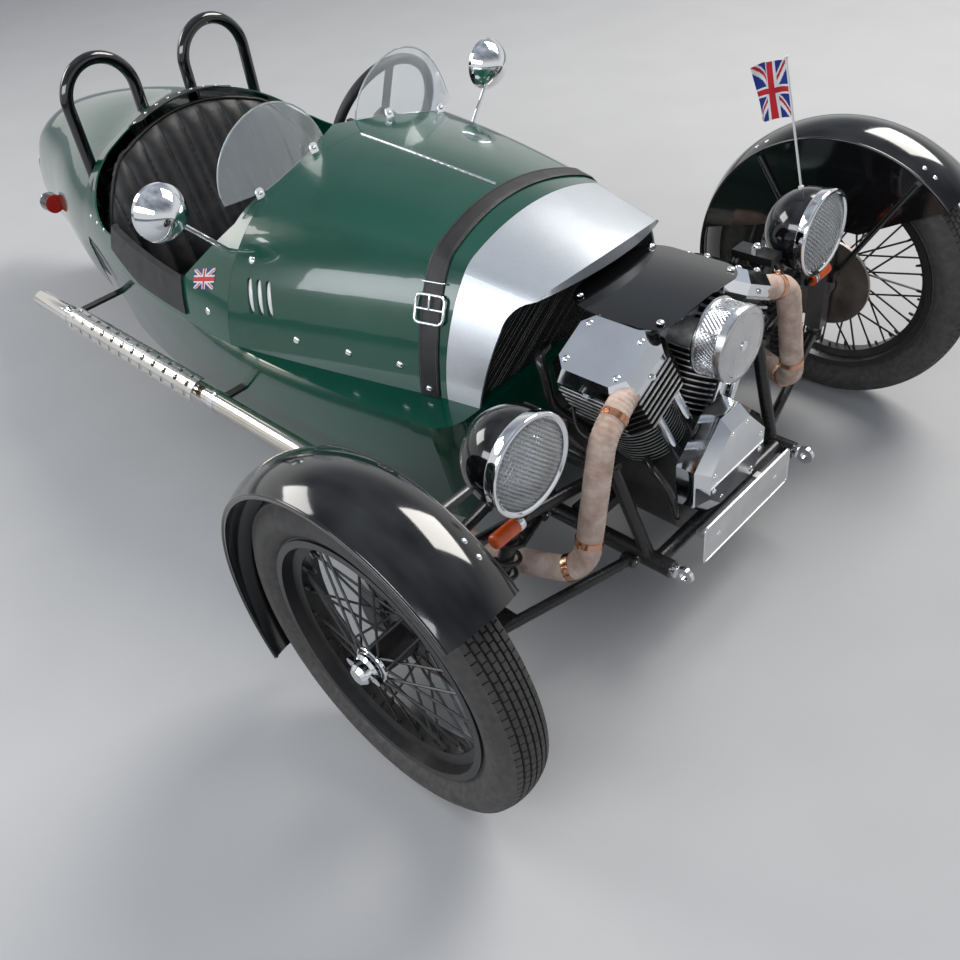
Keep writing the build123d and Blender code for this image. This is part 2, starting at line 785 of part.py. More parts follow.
# Polished lashing eyes on the rail ends.
with BuildPart() as lashing_eyes:
    for side in (-1, 1):
        rail_end = (frame_front_x + seat_gap, side * frame_half_width, frame_low_z)
        with BuildSketch(Plane(origin=rail_end, z_dir=(1, 0, 0))):
            Circle(frame_tube_radius - 5)
        extrude(amount=10)
        ring_x = frame_front_x + 8 + eye_radius
        with BuildSketch(Plane(origin=(ring_x, side * frame_half_width - 5, frame_low_z), z_dir=(0, 1, 0))):
            Circle(eye_radius)
            Circle(eye_bore, mode=Mode.SUBTRACT)
        extrude(amount=10)
save(lashing_eyes.part, "lashing_eyes")

# Wishbones: two arms each, meeting at the ball joints.
low_ball_y = front_track / 2 - kingpin_inset
ball_housing = 20.0
spring_foot_y = 545.0
spring_foot_z = low_ball_z + arm_tube_radius + 12
spring_lean = math.atan2(spring_foot_y - spring_top_y, tower_low_z - spring_foot_z)
foot_dip = damper_radius * math.sin(spring_lean)
with BuildPart() as wishbones:
    for side in (-1, 1):
        with Locations((front_axle_x, side * spring_foot_y, spring_foot_z - foot_dip - seat_gap)):
            Box(0.72 * mount_x_low, 34, 22, align=(Align.CENTER, Align.CENTER, Align.MAX))
        for mount_x, mount_y, ball_z, mount_z, mount_radius in (
            (mount_x_low, frame_half_width, low_ball_z, frame_low_z, frame_tube_radius),
            (mount_x_high, high_half_width, high_ball_z, frame_high_z, high_tube_radius),
        ):
            ball = (front_axle_x, side * (low_ball_y - 2), ball_z)
            for end in (-1, 1):
                inner_y = side * (mount_y + mount_radius + arm_tube_radius + seat_gap)
                bush_x = front_axle_x + end * mount_x
                add(rod((bush_x, inner_y, mount_z), ball, arm_tube_radius))
                add(rod((bush_x - 16, inner_y, mount_z), (bush_x + 16, inner_y, mount_z), arm_tube_radius))
            with Locations(ball):
                Cylinder(ball_housing, 26)
save(wishbones.part, "wishbones")


def wheel_plane(side):
    # Plane across the front wheel: local x forward, local y out along the axle.
    return Plane(
        origin=(front_axle_x, side * front_track / 2, front_tyre_radius), x_dir=(1, 0, 0), z_dir=(0, 0, side)
    )


def ring(plane, outline, arc=360.0):
    # Revolve an outline of (radius, offset along the axle) points about the axle.
    with BuildPart() as turned:
        with BuildSketch(plane):
            with BuildLine():
                Polyline(*outline, close=True)
            make_face()
        revolve(axis=Axis(plane.origin, plane.y_dir), revolution_arc=arc)
    return turned.part


def tyre(plane, radius, width, bead_radius, bead_half_width, bead_height):
    # Closed tyre: a straight bead beside each rim flange, round walls and a crowned tread.
    half = width / 2
    crown = 0.72 * half
    wall_radius = bead_radius + bead_height
    mid_radius = 0.5 * (radius + wall_radius)
    with BuildPart() as shape:
        with BuildSketch(plane):
            with BuildLine():
                Polyline(
                    (wall_radius, -bead_half_width), (bead_radius, -bead_half_width),
                    (bead_radius, bead_half_width), (wall_radius, bead_half_width),
                )
                ThreePointArc(
                    (wall_radius, bead_half_width), (mid_radius, half), (radius - 0.16 * half, crown)
                )
                ThreePointArc((radius - 0.16 * half, crown), (radius, 0), (radius - 0.16 * half, -crown))
                ThreePointArc(
                    (radius - 0.16 * half, -crown), (mid_radius, -half), (wall_radius, -bead_half_width)
                )
            make_face()
        revolve(axis=Axis(plane.origin, plane.y_dir))
    return shape.part


def wire_wheel(side):
    # Rim, hub and crossed spokes; spokes leave the hub flanges at a tangent and cross over.
    plane = wheel_plane(side)
    well = rim_radius - rim_well_depth
    low = rim_radius - rim_thickness
    rim = (
        (rim_radius + 4, rim_half_width),
        (rim_radius + 4, rim_half_width - 4),
        (low, rim_half_width - 5),
        (low - 4, 18),
        (well, 12),
        (well, -12),
        (low - 4, -18),
        (low, -rim_half_width + 5),
        (rim_radius + 4, -rim_half_width + 4),
        (rim_radius + 4, -rim_half_width),
        (low - rim_thickness, -rim_half_width),
        (low - rim_thickness - 4, -20),
        (well - rim_thickness, -14),
        (well - rim_thickness, 14),
        (low - rim_thickness - 4, 20),
        (low - rim_thickness, rim_half_width),
    )
    hub = (
        (hub_bore, -hub_half_length),
        (hub_radius + 14, -hub_half_length),
        (hub_radius + 14, -hub_half_length + 6),
        (hub_radius, -hub_half_length + 10),
        (hub_radius - 6, hub_half_length - 10),
        (hub_radius + 2, hub_half_length - 6),
        (hub_radius + 2, hub_half_length),
        (hub_bore, hub_half_length),
    )
    spoke_length = well - rim_thickness + 1.5
    with BuildPart() as wheel:
        add(ring(plane, rim))
        add(ring(plane, hub))
        # Columns: offset along the axle at the hub, flange radius, offset at the rim, sense of the lean.
        for hub_offset, flange_radius, rim_offset, sense in (
            (-hub_half_length + 3, hub_radius + 10, -8.0, 1),
            (-hub_half_length + 3, hub_radius + 10, 0.0, -1),
            (hub_half_length - 3, hub_radius - 1, 0.0, 1),
            (hub_half_length - 3, hub_radius - 1, 8.0, -1),
        ):
            for index in range(spokes_per_flange // 2):
                at_hub = math.radians(360.0 / (spokes_per_flange // 2) * (index + 0.25 * sense))
                at_rim = at_hub + sense * math.radians(62.0 if hub_offset < 0 else 40.0)
                start = plane.from_local_coords(
                    (flange_radius * math.cos(at_hub), hub_offset, flange_radius * math.sin(at_hub))
                )
                end = plane.from_local_coords(
                    (spoke_length * math.cos(at_rim), rim_offset, spoke_length * math.sin(at_rim))
                )
                run = end - start
                with BuildSketch(Plane(origin=start, z_dir=run)):
                    RegularPolygon(spoke_radius, 6)
                extrude(amount=run.length)
    return wheel.part


# Front wheels: tyre, wire wheel, spinner nut and brake disc.
for side in (-1, 1):
    plane = wheel_plane(side)
    bead_radius = rim_radius - rim_thickness + seat_gap
    front_tyre = tyre(
        plane, front_tyre_radius, front_tyre_width, bead_radius, rim_half_width - 6, rim_thickness + 6
    )
    save(front_tyre, f"front_tyre_{side_name(side)}")
    save(wire_wheel(side), f"wire_wheel_{side_name(side)}")
    with BuildPart() as spinner:
        add(ring(plane, (
            (0, hub_half_length + seat_gap),
            (spinner_radius, hub_half_length + seat_gap),
            (spinner_radius, hub_half_length + 8),
            (spinner_radius - 6, hub_half_length + 14),
            (spinner_radius - 8, hub_half_length + spinner_length - 8),
            (spinner_radius - 14, hub_half_length + spinner_length),
            (0, hub_half_length + spinner_length),
        )))
        with BuildSketch(
            Plane(
                origin=plane.from_local_coords((0, hub_half_length + 10, 0)),
                x_dir=(1, 0, 0),
                z_dir=(0, side, 0),
            )
        ):
            SlotOverall(2 * spinner_ear, 18)
        extrude(amount=9)
    save(spinner.part, f"spinner_{side_name(side)}")
    with BuildPart() as brake_disc:
        add(ring(plane, (
            (hub_radius - 2, -disc_inset - disc_thickness / 2),
            (disc_radius, -disc_inset - disc_thickness / 2),
            (disc_radius, -disc_inset + disc_thickness / 2),
            (hub_radius + 16, -disc_inset + disc_thickness / 2),
            (hub_radius + 12, -hub_half_length - seat_gap),
            (hub_radius - 2, -hub_half_length - seat_gap),
        )))
    save(brake_disc.part, f"brake_disc_{side_name(side)}")

# Front hubs: upright with stub axle, ball sockets, steering arm and brake caliper.
stub_radius = hub_bore - seat_gap
upright_radius = 30.0
upright_half_length = 22.0
arm_ball_y = low_ball_y - 14.0
arm_plate = 12.0
for side in (-1, 1):
    plane = wheel_plane(side)
    king_y = side * low_ball_y
    with BuildPart() as knuckle:
        for ball_z, face in ((low_ball_z, 1), (high_ball_z, -1)):
            with Locations((front_axle_x, king_y, ball_z + face * (13 + ball_clearance))):
                Cylinder(17, 22, align=(Align.CENTER, Align.CENTER, Align.MIN if face > 0 else Align.MAX))
        with Locations((front_axle_x, king_y, (low_ball_z + high_ball_z) / 2)):
            Box(2 * upright_half_length, 34, high_ball_z - low_ball_z - 2 * (13 + ball_clearance) - 20)
        add(
            rod(
                (front_axle_x, king_y, front_tyre_radius),
                (front_axle_x, king_y + side * 26, front_tyre_radius),
                upright_radius,
            )
        )
        add(rod(
            (front_axle_x, king_y, front_tyre_radius),
            (front_axle_x, side * (front_track / 2 + hub_half_length - 2), front_tyre_radius),
            stub_radius,
        ))
        with BuildSketch(Plane.XY.offset(rack_z + rack_radius + rack_clearance)):
            with BuildLine():
                Polyline(
                    (front_axle_x + 10, king_y - 14),
                    (front_axle_x + 10, king_y + 14),
                    (front_axle_x + rack_x_offset, side * arm_ball_y + 14),
                    (front_axle_x + rack_x_offset - 14, side * arm_ball_y),
                    (front_axle_x + rack_x_offset, side * arm_ball_y - 14),
                    close=True,
                )
            make_face()
        extrude(amount=arm_plate)
        caliper_y = side * (front_track / 2 - disc_inset)
        with BuildSketch(
            Plane(origin=(front_axle_x, caliper_y, front_tyre_radius), x_dir=(1, 0, 0), z_dir=(0, 1, 0))
        ):
            with BuildLine():
                CenterArc((0, 0), disc_radius + 14, 148, 64)
                CenterArc((0, 0), disc_radius - 42, 148, 64)
                for angle in (148, 212):
                    along = (math.cos(math.radians(angle)), math.sin(math.radians(angle)))
                    Line(
                        ((disc_radius - 42) * along[0], (disc_radius - 42) * along[1]),
                        ((disc_radius + 14) * along[0], (disc_radius + 14) * along[1]),
                    )
            make_face()
        extrude(amount=24, both=True)
        add(ring(plane, (
            (0, -disc_inset - disc_thickness / 2 - 3),
            (disc_radius + 4, -disc_inset - disc_thickness / 2 - 3),
            (disc_radius + 4, -disc_inset + disc_thickness / 2 + 3),
            (hub_radius + 30, -disc_inset + disc_thickness / 2 + 3),
            (hub_radius + 22, -hub_half_length + 20),
            (0, -hub_half_length + 20),
        )), mode=Mode.SUBTRACT)
        add(rod(
            (front_axle_x, king_y, front_tyre_radius),
            (front_axle_x, side * (front_track / 2 + hub_half_length - 2), front_tyre_radius),
            stub_radius,
        ))
        add(
            rod(
                (front_axle_x - 20, king_y, front_tyre_radius),
                (front_axle_x - disc_radius + 20, king_y, front_tyre_radius),
                12.0,
            )
        )
    save(knuckle.part, f"knuckle_{side_name(side)}")

# Cycle wings: crowned arc over the tyre with an inner valance, carried by stays on the upright.
stay_radius = 7.0
clamp_half = 7.0
clamp_z = front_tyre_radius + 38.0
valance_rear_angle = 170.0
valance_foot_z = 150.0
valance_foot_x = 70.0
wing_edge_radius = wing_radius - wing_crown


for side in (-1, 1):
    centre = (front_axle_x, side * front_track / 2, front_tyre_radius)
    ahead = polar(1.0, wing_front_angle)
    tip_plane = Plane(
        origin=centre, x_dir=(ahead[0], 0, ahead[1]), z_dir=(-side * ahead[1], 0, side * ahead[0])
    )
    inner_face = Plane(
        origin=(
            front_axle_x, side * (front_track / 2 - wing_half_width), front_tyre_radius
        ), x_dir=(1, 0, 0), z_dir=(0, -1, 0)
    )
    edge = wing_half_width - wing_thickness
    with BuildPart() as wing:
        with BuildSketch(tip_plane):
            with BuildLine():
                Line((wing_edge_radius - wing_lip, -wing_half_width), (wing_edge_radius, -wing_half_width))
                ThreePointArc(
                    (wing_edge_radius, -wing_half_width),
                    (wing_radius, 0),
                    (wing_edge_radius, wing_half_width),
                )
                Line((wing_edge_radius, wing_half_width), (wing_edge_radius - wing_lip, wing_half_width))
                Line((wing_edge_radius - wing_lip, wing_half_width), (wing_edge_radius - wing_lip, edge))
                Line((wing_edge_radius - wing_lip, edge), (wing_edge_radius - wing_thickness, edge))
                ThreePointArc(
                    (wing_edge_radius - wing_thickness, edge),
                    (wing_radius - wing_thickness, 0),
                    (wing_edge_radius - wing_thickness, -edge),
                )
                Line((wing_edge_radius - wing_thickness, -edge), (wing_edge_radius - wing_lip, -edge))
                Line((wing_edge_radius - wing_lip, -edge), (wing_edge_radius - wing_lip, -wing_half_width))
            make_face()
        revolve(axis=Axis(centre, (0, -1, 0)), revolution_arc=180.0 - wing_rear_angle - wing_front_angle)
        with BuildSketch(inner_face):
            with BuildLine():
                valance_radius = wing_edge_radius - 1
                front = polar(valance_radius, wing_front_angle)
                rear = polar(valance_radius, valance_rear_angle)
                ThreePointArc(front, polar(valance_radius, 100), rear)
                Line(rear, (-valance_foot_x, valance_foot_z))
                Line((-valance_foot_x, valance_foot_z), (valance_foot_x, valance_foot_z))
                Line((valance_foot_x, valance_foot_z), front)
            make_face()
        extrude(amount=-side * wing_thickness)
        stay_y = side * (front_track / 2 - wing_half_width - stay_radius + 2)
        stay_x = upright_half_length + seat_gap + stay_radius
        for angle, start_x in ((58.0, stay_x), (125.0, -stay_x)):
            reach = polar(wing_edge_radius - 10, angle)
            clamp_x = math.copysign(upright_half_length + seat_gap + clamp_half, start_x)
            with Locations((front_axle_x + clamp_x, side * (low_ball_y + 8), clamp_z)):
                Box(2 * clamp_half, 34, 28)
            add(rod(
                (front_axle_x + start_x, stay_y, clamp_z),
                (front_axle_x + reach[0], stay_y, front_tyre_radius + reach[1]),
                stay_radius,
            ))
    save(wing.part, f"wing_{side_name(side)}")

# Steering rack: a bar sliding in its housing, with a flat eye under each steering arm.
with BuildPart() as steering_rack:
    add(rod((rack_x, -arm_ball_y + 44, rack_z), (rack_x, arm_ball_y - 44, rack_z), rack_radius))
    for side in (-1, 1):
        with Locations((rack_x, side * arm_ball_y, rack_z + rack_radius)):
            Cylinder(rack_eye_radius, 10, align=(Align.CENTER, Align.CENTER, Align.MAX))
        with Locations((rack_x, side * (arm_ball_y - 30), rack_z + rack_radius)):
            Box(14, 60, 10, align=(Align.CENTER, Align.CENTER, Align.MAX))
save(steering_rack.part, "steering_rack")

# Coil springs over their dampers, from a plate on the lower arms to the top mounts.
spring_end_share = 0.12
with BuildPart() as coil_springs:
    for side in (-1, 1):
        top = Vector(front_axle_x, side * spring_top_y, tower_low_z - foot_dip - seat_gap)
        foot = Vector(front_axle_x, side * spring_foot_y, spring_foot_z)
        run = top - foot
        half_turn = run.length * (1 - 2 * spring_end_share) / (2 * spring_turns)
        outline = [(0, 0), (damper_radius, 0), (damper_radius, spring_end_share * run.length - 8)]
        outline += [
            (spring_radius, spring_end_share * run.length - 8),
            (spring_radius, spring_end_share * run.length),
        ]
        for turn in range(spring_turns):
            at = spring_end_share * run.length + 2 * turn * half_turn
            outline += [
                (spring_radius - 2 * spring_wire, at + 0.5 * half_turn),
                (spring_radius - 2 * spring_wire, at + half_turn),
            ]
            outline += [(spring_radius, at + 1.4 * half_turn), (spring_radius, at + 2 * half_turn)]
        outline += [
            (damper_radius, run.length - spring_end_share * run.length + 6),
            (damper_radius, run.length),
            (0, run.length),
        ]
        side_dir = Vector(1, 0, 0)
        with BuildSketch(Plane(origin=foot, x_dir=side_dir, z_dir=side_dir.cross(run))):
            with BuildLine():
                Polyline(*outline, close=True)
            make_face()
        revolve(axis=Axis(foot, run))

# Engine: crankcase, bell housing and mounting lugs.
case_front_x = engine_x + crankcase_length / 2
case_rear_x = engine_x - crankcase_length / 2
bell_rear_x = hull_front_x - hull_wall
deck_half_width = 74.0


def bank_plane(side, height=0.0):
    # Plane square to one cylinder: local x forward, z up the bore, height measured from the crankshaft.
    lean = math.radians(vee_half_angle)
    return Plane(
        origin=(engine_x, 0, crank_z), x_dir=(1, 0, 0), z_dir=(0, side * math.sin(lean), math.cos(lean))
    ).offset(height)


with BuildPart() as engine_case:
    with BuildSketch(Plane(origin=(case_rear_x, 0, crank_z), z_dir=(1, 0, 0))):
        Circle(crankcase_radius)
    extrude(amount=crankcase_length)
    for side in (-1, 1):
        with BuildSketch(bank_plane(side)):
            Rectangle(crankcase_length, 2 * deck_half_width)
        extrude(amount=barrel_base - seat_gap)
    for side in (-1, 1):
        with BuildSketch(bank_plane(side, barrel_base - seat_gap)):
            Rectangle(crankcase_length + 2, 2 * deck_half_width)
        extrude(amount=crankcase_radius, mode=Mode.SUBTRACT)
    with BuildSketch(Plane(origin=(bell_rear_x, 0, crank_z), z_dir=(1, 0, 0))):
        Circle(bellhousing_radius)
    extrude(amount=case_rear_x - bell_rear_x + 20)
    for side in (-1, 1):
        reach = frame_half_width - frame_tube_radius - seat_gap
        with Locations((engine_x - 60, side * reach / 2, frame_low_z)):
            Box(60, reach, 26)
    with Locations((case_front_x, 0, frame_low_z + 6)):
        Box(
            front_cross_x - cross_tube_radius - seat_gap - case_front_x,
            90,
            40,
            align=(Align.MIN, Align.CENTER, Align.CENTER),
        )
save(engine_case.part, "engine_case")

# Barrels and heads with their cooling fins, joined by the intake in the vee.
intake_z = 600.0
throttle_radius = 30.0
runner_radius = 24.0
cleaner_rear_x = engine_x + head_length / 2 + 4
intake_reach = 104.0
head_bevel = 36.0
head_fin_thickness = 5.0
head_fin_count = 6
head_core_inset = 14.0


def bevelled(length, width, bevel):
    # Outline with cut corners, centred on the bore.
    a, b = length / 2, width / 2
    return (
        (-a, -b + bevel), (-a + bevel, -b), (a - bevel, -b), (a, -b + bevel),
        (a, b - bevel), (a - bevel, b), (-a + bevel, b), (-a, b - bevel),
    )


fin_outline = []
fin_count = int((barrel_top - barrel_base) // fin_pitch)
for index in range(fin_count):
    fin_low = barrel_base + 8 + index * fin_pitch
    fin_outline += [(barrel_radius, fin_low), (fin_radius, fin_low)]
    fin_outline += [(fin_radius, fin_low + fin_thickness), (barrel_radius, fin_low + fin_thickness)]
head_plane_span = head_top - barrel_top
head_fin_pitch = (head_plane_span - head_fin_thickness) / (head_fin_count - 1)
with BuildPart() as cylinders:
    for side in (-1, 1):
        base = bank_plane(side)
        with BuildSketch(Plane(origin=base.origin, x_dir=(1, 0, 0), z_dir=base.x_dir.cross(base.z_dir))):
            with BuildLine():
                Polyline(
                    (0, barrel_base),
                    (barrel_radius, barrel_base),
                    *fin_outline,
                    (barrel_radius, barrel_top),
                    (0, barrel_top),
                    close=True,
                )
            make_face()
        revolve(axis=Axis(base.origin, base.z_dir))
        with BuildSketch(bank_plane(side, barrel_top)):
            with BuildLine():
                Polyline(
                    *bevelled(
                        head_length - 2 * head_core_inset, head_width - 2 * head_core_inset, head_bevel
                    ),
                    close=True,
                )
            make_face()
        extrude(amount=head_plane_span)
        for index in range(head_fin_count):
            with BuildSketch(bank_plane(side, barrel_top + index * head_fin_pitch)):
                with BuildLine():
                    Polyline(*bevelled(head_length, head_width, head_bevel), close=True)
                make_face()
            extrude(amount=head_fin_thickness)
    with Locations((engine_x, 0, crank_z)):
        Box(2 * fin_radius, 2 * seat_gap, 2 * barrel_top, mode=Mode.SUBTRACT)
    # Throttle body between the heads, with a runner to each port.
    add(rod((engine_x - 60, 0, intake_z), (cleaner_rear_x - seat_gap, 0, intake_z), throttle_radius))
    add(rod((engine_x, -intake_reach, intake_z), (engine_x, intake_reach, intake_z), runner_radius))
save(cylinders.part, "cylinders")

# Bevelled rocker covers.
cover_inset = 8.0
cover_wall = 24.0
cover_taper = 20.0
cover_rise = rocker_top - head_top - seat_gap - cover_wall
with BuildPart() as rocker_covers:
    for side in (-1, 1):
        cover_length = head_length - cover_inset
        cover_width = head_width - cover_inset
        with BuildSketch(bank_plane(side, head_top + seat_gap)):
            with BuildLine():
                Polyline(*bevelled(cover_length, cover_width, head_bevel), close=True)
            make_face()
        extrude(amount=cover_wall)
        with BuildSketch(bank_plane(side, head_top + seat_gap + cover_wall)):
            with BuildLine():
                Polyline(*bevelled(cover_length, cover_width, head_bevel), close=True)
            make_face()
        extrude(amount=cover_rise, taper=math.degrees(math.atan2(cover_taper, cover_rise)))

# Pushrod tubes ahead of each barrel.
pushrod_radius = 11.0
pushrod_spread = 30.0
with BuildPart() as pushrod_tubes:
    for side in (-1, 1):
        with BuildSketch(bank_plane(side, barrel_base)):
            with Locations(
                (fin_radius + pushrod_radius, -pushrod_spread), (fin_radius + pushrod_radius, pushrod_spread)
            ):
                Circle(pushrod_radius)
        extrude(amount=barrel_top - barrel_base - seat_gap)

# Bevelled front cover.
cover_front_x = case_front_x + 68.0
with BuildPart() as front_cover:
    sections = []
    for x, inset in ((case_front_x + seat_gap, 0.0), (case_front_x + 42, 2.0), (cover_front_x, 24.0)):
        with BuildSketch(Plane(origin=(x, 0, crank_z), x_dir=(0, 1, 0), z_dir=(1, 0, 0))) as cover_face:
            half = 124.0 - inset
            apex = 184.0 - inset
            shoulder = 100.0 - 0.5 * inset
            with BuildLine():
                Polyline(
                    (-34, apex), (34, apex), (half, shoulder), (half, 4 + inset),
                    (half - 40, inset - 34), (40 - half, inset - 34), (-half, 4 + inset), (-half, shoulder),
                    close=True,
                )
            make_face()
        sections.append(cover_face.sketch.face())
    loft(sections[:2], ruled=True)
    loft(sections[1:], ruled=True)

with BuildPart() as engine_covers:
    add(rocker_covers.part)
    add(pushrod_tubes.part)
    add(front_cover.part)
save(engine_covers.part, "engine_covers")

# Round air cleaner facing forward.
cleaner_radius = 78.0
cleaner_depth = 72.0
with BuildPart() as air_cleaner:
    with BuildSketch(Plane(origin=(cleaner_rear_x, 0, intake_z + 10), x_dir=(1, 0, 0), z_dir=(0, -1, 0))):
        with BuildLine():
            Polyline(
                (0, 0), (0, cleaner_radius), (6, cleaner_radius), (6, cleaner_radius - 6),
                (cleaner_depth - 20, cleaner_radius - 6), (cleaner_depth - 20, cleaner_radius),
                (
                    cleaner_depth - 6, cleaner_radius
                ), (cleaner_depth, cleaner_radius - 7), (cleaner_depth, 0), close=True,
            )
        make_face()
    revolve(axis=Axis((cleaner_rear_x, 0, intake_z + 10), (1, 0, 0)))
save(air_cleaner.part, "air_cleaner")

# Curved cover plate over the intake, resting on the rocker covers' inner edges.
shroud_thickness = 3.0
cover_edge = bank_plane(1, rocker_top).from_local_coords(
    (0, cover_taper - (head_width - cover_inset) / 2, 0)
)
shroud_half_width = cover_edge.Y + 2.0
shroud_edge_z = cover_edge.Z + shroud_thickness + seat_gap
shroud_crown_z = shroud_edge_z + 11.0
shroud_front_x = 1385.0
shroud_rear_x = 1145.0
shroud_drop = shroud_crown_z - shroud_edge_z
bend_radius = (shroud_half_width ** 2 + shroud_drop ** 2) / (2 * shroud_drop)
with BuildPart() as intake_shroud:
    with BuildSketch(Plane.XY.offset(shroud_edge_z - 40)):
        with Locations(((shroud_front_x + shroud_rear_x) / 2, 0)):
            RectangleRounded(shroud_front_x - shroud_rear_x, 2 * shroud_half_width, 62)
    extrude(amount=80)
    with BuildSketch(
        Plane(origin=(shroud_rear_x - 20, 0, shroud_crown_z - bend_radius), x_dir=(0, 1, 0), z_dir=(1, 0, 0))
    ):
        Circle(bend_radius)
        Circle(bend_radius - shroud_thickness, mode=Mode.SUBTRACT)
    extrude(amount=shroud_front_x - shroud_rear_x + 40, mode=Mode.INTERSECT)
save(intake_shroud.part, "intake_shroud")

# Exhaust: wrapped headers from the outer side of each head to the side pipes.
port_height = (barrel_top + head_top) / 2
header_x = 1362.0
header_drop_x = 1380.0
header_elbow_z = 266.0
header_end_x = 880.0
header_end_y = 512.0
with BuildPart() as exhaust_headers:
    for side in (-1, 1):
        port = bank_plane(side, port_height).from_local_coords(
            (header_x - engine_x, side * (head_width / 2 - head_core_inset), 0)
        )
        route = (
            (port.X, port.Y, port.Z),
            (header_drop_x, side * 322, port.Z - 42),
            (header_drop_x, side * 392, header_elbow_z),
            (engine_x - 100, side * 470, header_elbow_z),
            (1020, side * 490, header_elbow_z + 40),
            (header_end_x + 66, side * (header_end_y - 11), pipe_z),
            (header_end_x, side * header_end_y, pipe_z),
        )
        add(tube_path(route, 62, header_radius))
        with BuildSketch(bank_plane(side, barrel_top)):
            Rectangle(head_length, head_width + 2 * seat_gap)
        extrude(amount=head_plane_span + cover_wall, mode=Mode.SUBTRACT)
save(exhaust_headers.part, "exhaust_headers")

# Side pipes: polished tubes along the body with open tips.
with BuildPart() as side_pipes:
    for side in (-1, 1):
        first = Vector(header_end_x, side * header_end_y, pipe_z)
        route = (
            (first.X - seat_gap, first.Y, first.Z),
            (first.X - 66, side * (header_end_y + 11), pipe_z),
            (first.X - 190, side * pipe_y, pipe_z),
            (pipe_tip_x, side * pipe_y, pipe_z),
        )
        add(tube_path(route, 200, pipe_radius))
        add(
            rod(
                (pipe_tip_x - 1, side * pipe_y, pipe_z),
                (pipe_tip_x + 160, side * pipe_y, pipe_z),
                pipe_radius - pipe_wall,
            ),
            mode=Mode.SUBTRACT,
        )
        for clip_x in (shield_front_x + pipe_clip_overhang, shield_rear_x - pipe_clip_overhang):
            with Locations((clip_x, side * (pipe_y - pipe_radius), pipe_z)):
                Box(pipe_clip_length, 2 * (pipe_y - pipe_radius - pipe_clip_inner_y), pipe_clip_height)
    with BuildPart(mode=Mode.PRIVATE) as hull_body:
        loft(
            (hull_outline(floor_z, hull_floor_share, -seat_gap), hull_outline(hull_top_z, 1.0, -seat_gap)),
            ruled=True,
        )
    add(hull_body.part, mode=Mode.SUBTRACT)
save(side_pipes.part, "side_pipes")

# Perforated heat shields: a half round over each pipe and a drilled flange to the body.
shield_radius = pipe_radius + shield_gap + shield_wall
shield_length = shield_front_x - shield_rear_x
hole_pitch = shield_length / shield_hole_columns
with BuildPart() as heat_shields:
    for side in (-1, 1):
        start = (shield_rear_x, side * pipe_y, pipe_z)
        with BuildSketch(Plane(origin=start, x_dir=(0, side, 0), z_dir=(side, 0, 0))):
            with BuildLine():
                ThreePointArc((shield_radius, 0), polar(shield_radius, 50), polar(shield_radius, 110))
                Line(polar(shield_radius, 110), polar(shield_radius - shield_wall, 110))
                ThreePointArc(
                    polar(
                        shield_radius - shield_wall, 110
                    ), polar(shield_radius - shield_wall, 50), (shield_radius - shield_wall, 0)
                )
                Line((shield_radius - shield_wall, 0), (shield_radius, 0))
            make_face()
        extrude(amount=side * shield_length)
        for column in range(shield_hole_columns):
            hole_x = shield_rear_x + (column + 0.5) * hole_pitch
            for angle in shield_hole_angles:
                out = polar(1.0, angle)
                with BuildSketch(
                    Plane(
                        origin=(hole_x, side * pipe_y, pipe_z),
                        x_dir=(1, 0, 0),
                        z_dir=(0, side * out[0], out[1]),
                    )
                ):
                    Circle(shield_hole_radius)
                extrude(amount=shield_radius + 5, mode=Mode.SUBTRACT)
        for bracket_x in (shield_rear_x + 20, shield_front_x - 20):
            with Locations((bracket_x, side * pipe_y, pipe_z + pipe_radius + seat_gap)):
                Box(14, 10, shield_gap, align=(Align.CENTER, Align.CENTER, Align.MIN))
save(heat_shields.part, "heat_shields")

# Headlamps: painted bowls with bright bezels on short stems.
lens_gap = 0.3
bowl_depth = lamp_depth - bezel_length
bowl_ball_x = (lamp_radius ** 2 - bowl_depth ** 2) / (2 * bowl_depth)
bowl_ball_radius = bowl_ball_x + bowl_depth
bowl_recess = 24.0
with BuildPart() as headlamps:
    for side in (-1, 1):
        centre = (lamp_x, side * lamp_y, lamp_z)
        edge_angle = math.degrees(math.atan2(lamp_radius, -bowl_ball_x))
        on_ball = polar(bowl_ball_radius, 0.5 * (edge_angle + 180))
        with BuildSketch(Plane(origin=centre, x_dir=(1, 0, 0), z_dir=(0, -1, 0))):
            with BuildLine():
                Line((0, lamp_radius - 8), (0, lamp_radius))
                ThreePointArc((0, lamp_radius), (bowl_ball_x + on_ball[0], on_ball[1]), (-bowl_depth, 0))
                Line((-bowl_depth, 0), (-bowl_recess, 0))
                Line((-bowl_recess, 0), (-bowl_recess, lamp_radius - 8))
                Line((-bowl_recess, lamp_radius - 8), (0, lamp_radius - 8))
            make_face()
        revolve(axis=Axis(centre, (1, 0, 0)))
        add(
            rod(
                (lamp_pad_x, side * lamp_y, lamp_pad_z + seat_gap),
                (lamp_pad_x, side * lamp_y, lamp_z - lamp_radius + 22),
                11.0,
            )
        )
save(headlamps.part, "headlamps")
with BuildPart() as lamp_bezels:
    for side in (-1, 1):
        centre = (lamp_x, side * lamp_y, lamp_z)
        with BuildSketch(Plane(origin=centre, x_dir=(1, 0, 0), z_dir=(0, -1, 0))):
            with BuildLine():
                Polyline(
                    (seat_gap, lamp_radius - 6), (seat_gap, bezel_radius - 3), (
                        bezel_length - 8, bezel_radius
                    ),
                    (bezel_length, bezel_radius - 5), (bezel_length, lamp_radius - 6), close=True,
                )
            make_face()
        revolve(axis=Axis(centre, (1, 0, 0)))
save(lamp_bezels.part, "lamp_bezels")
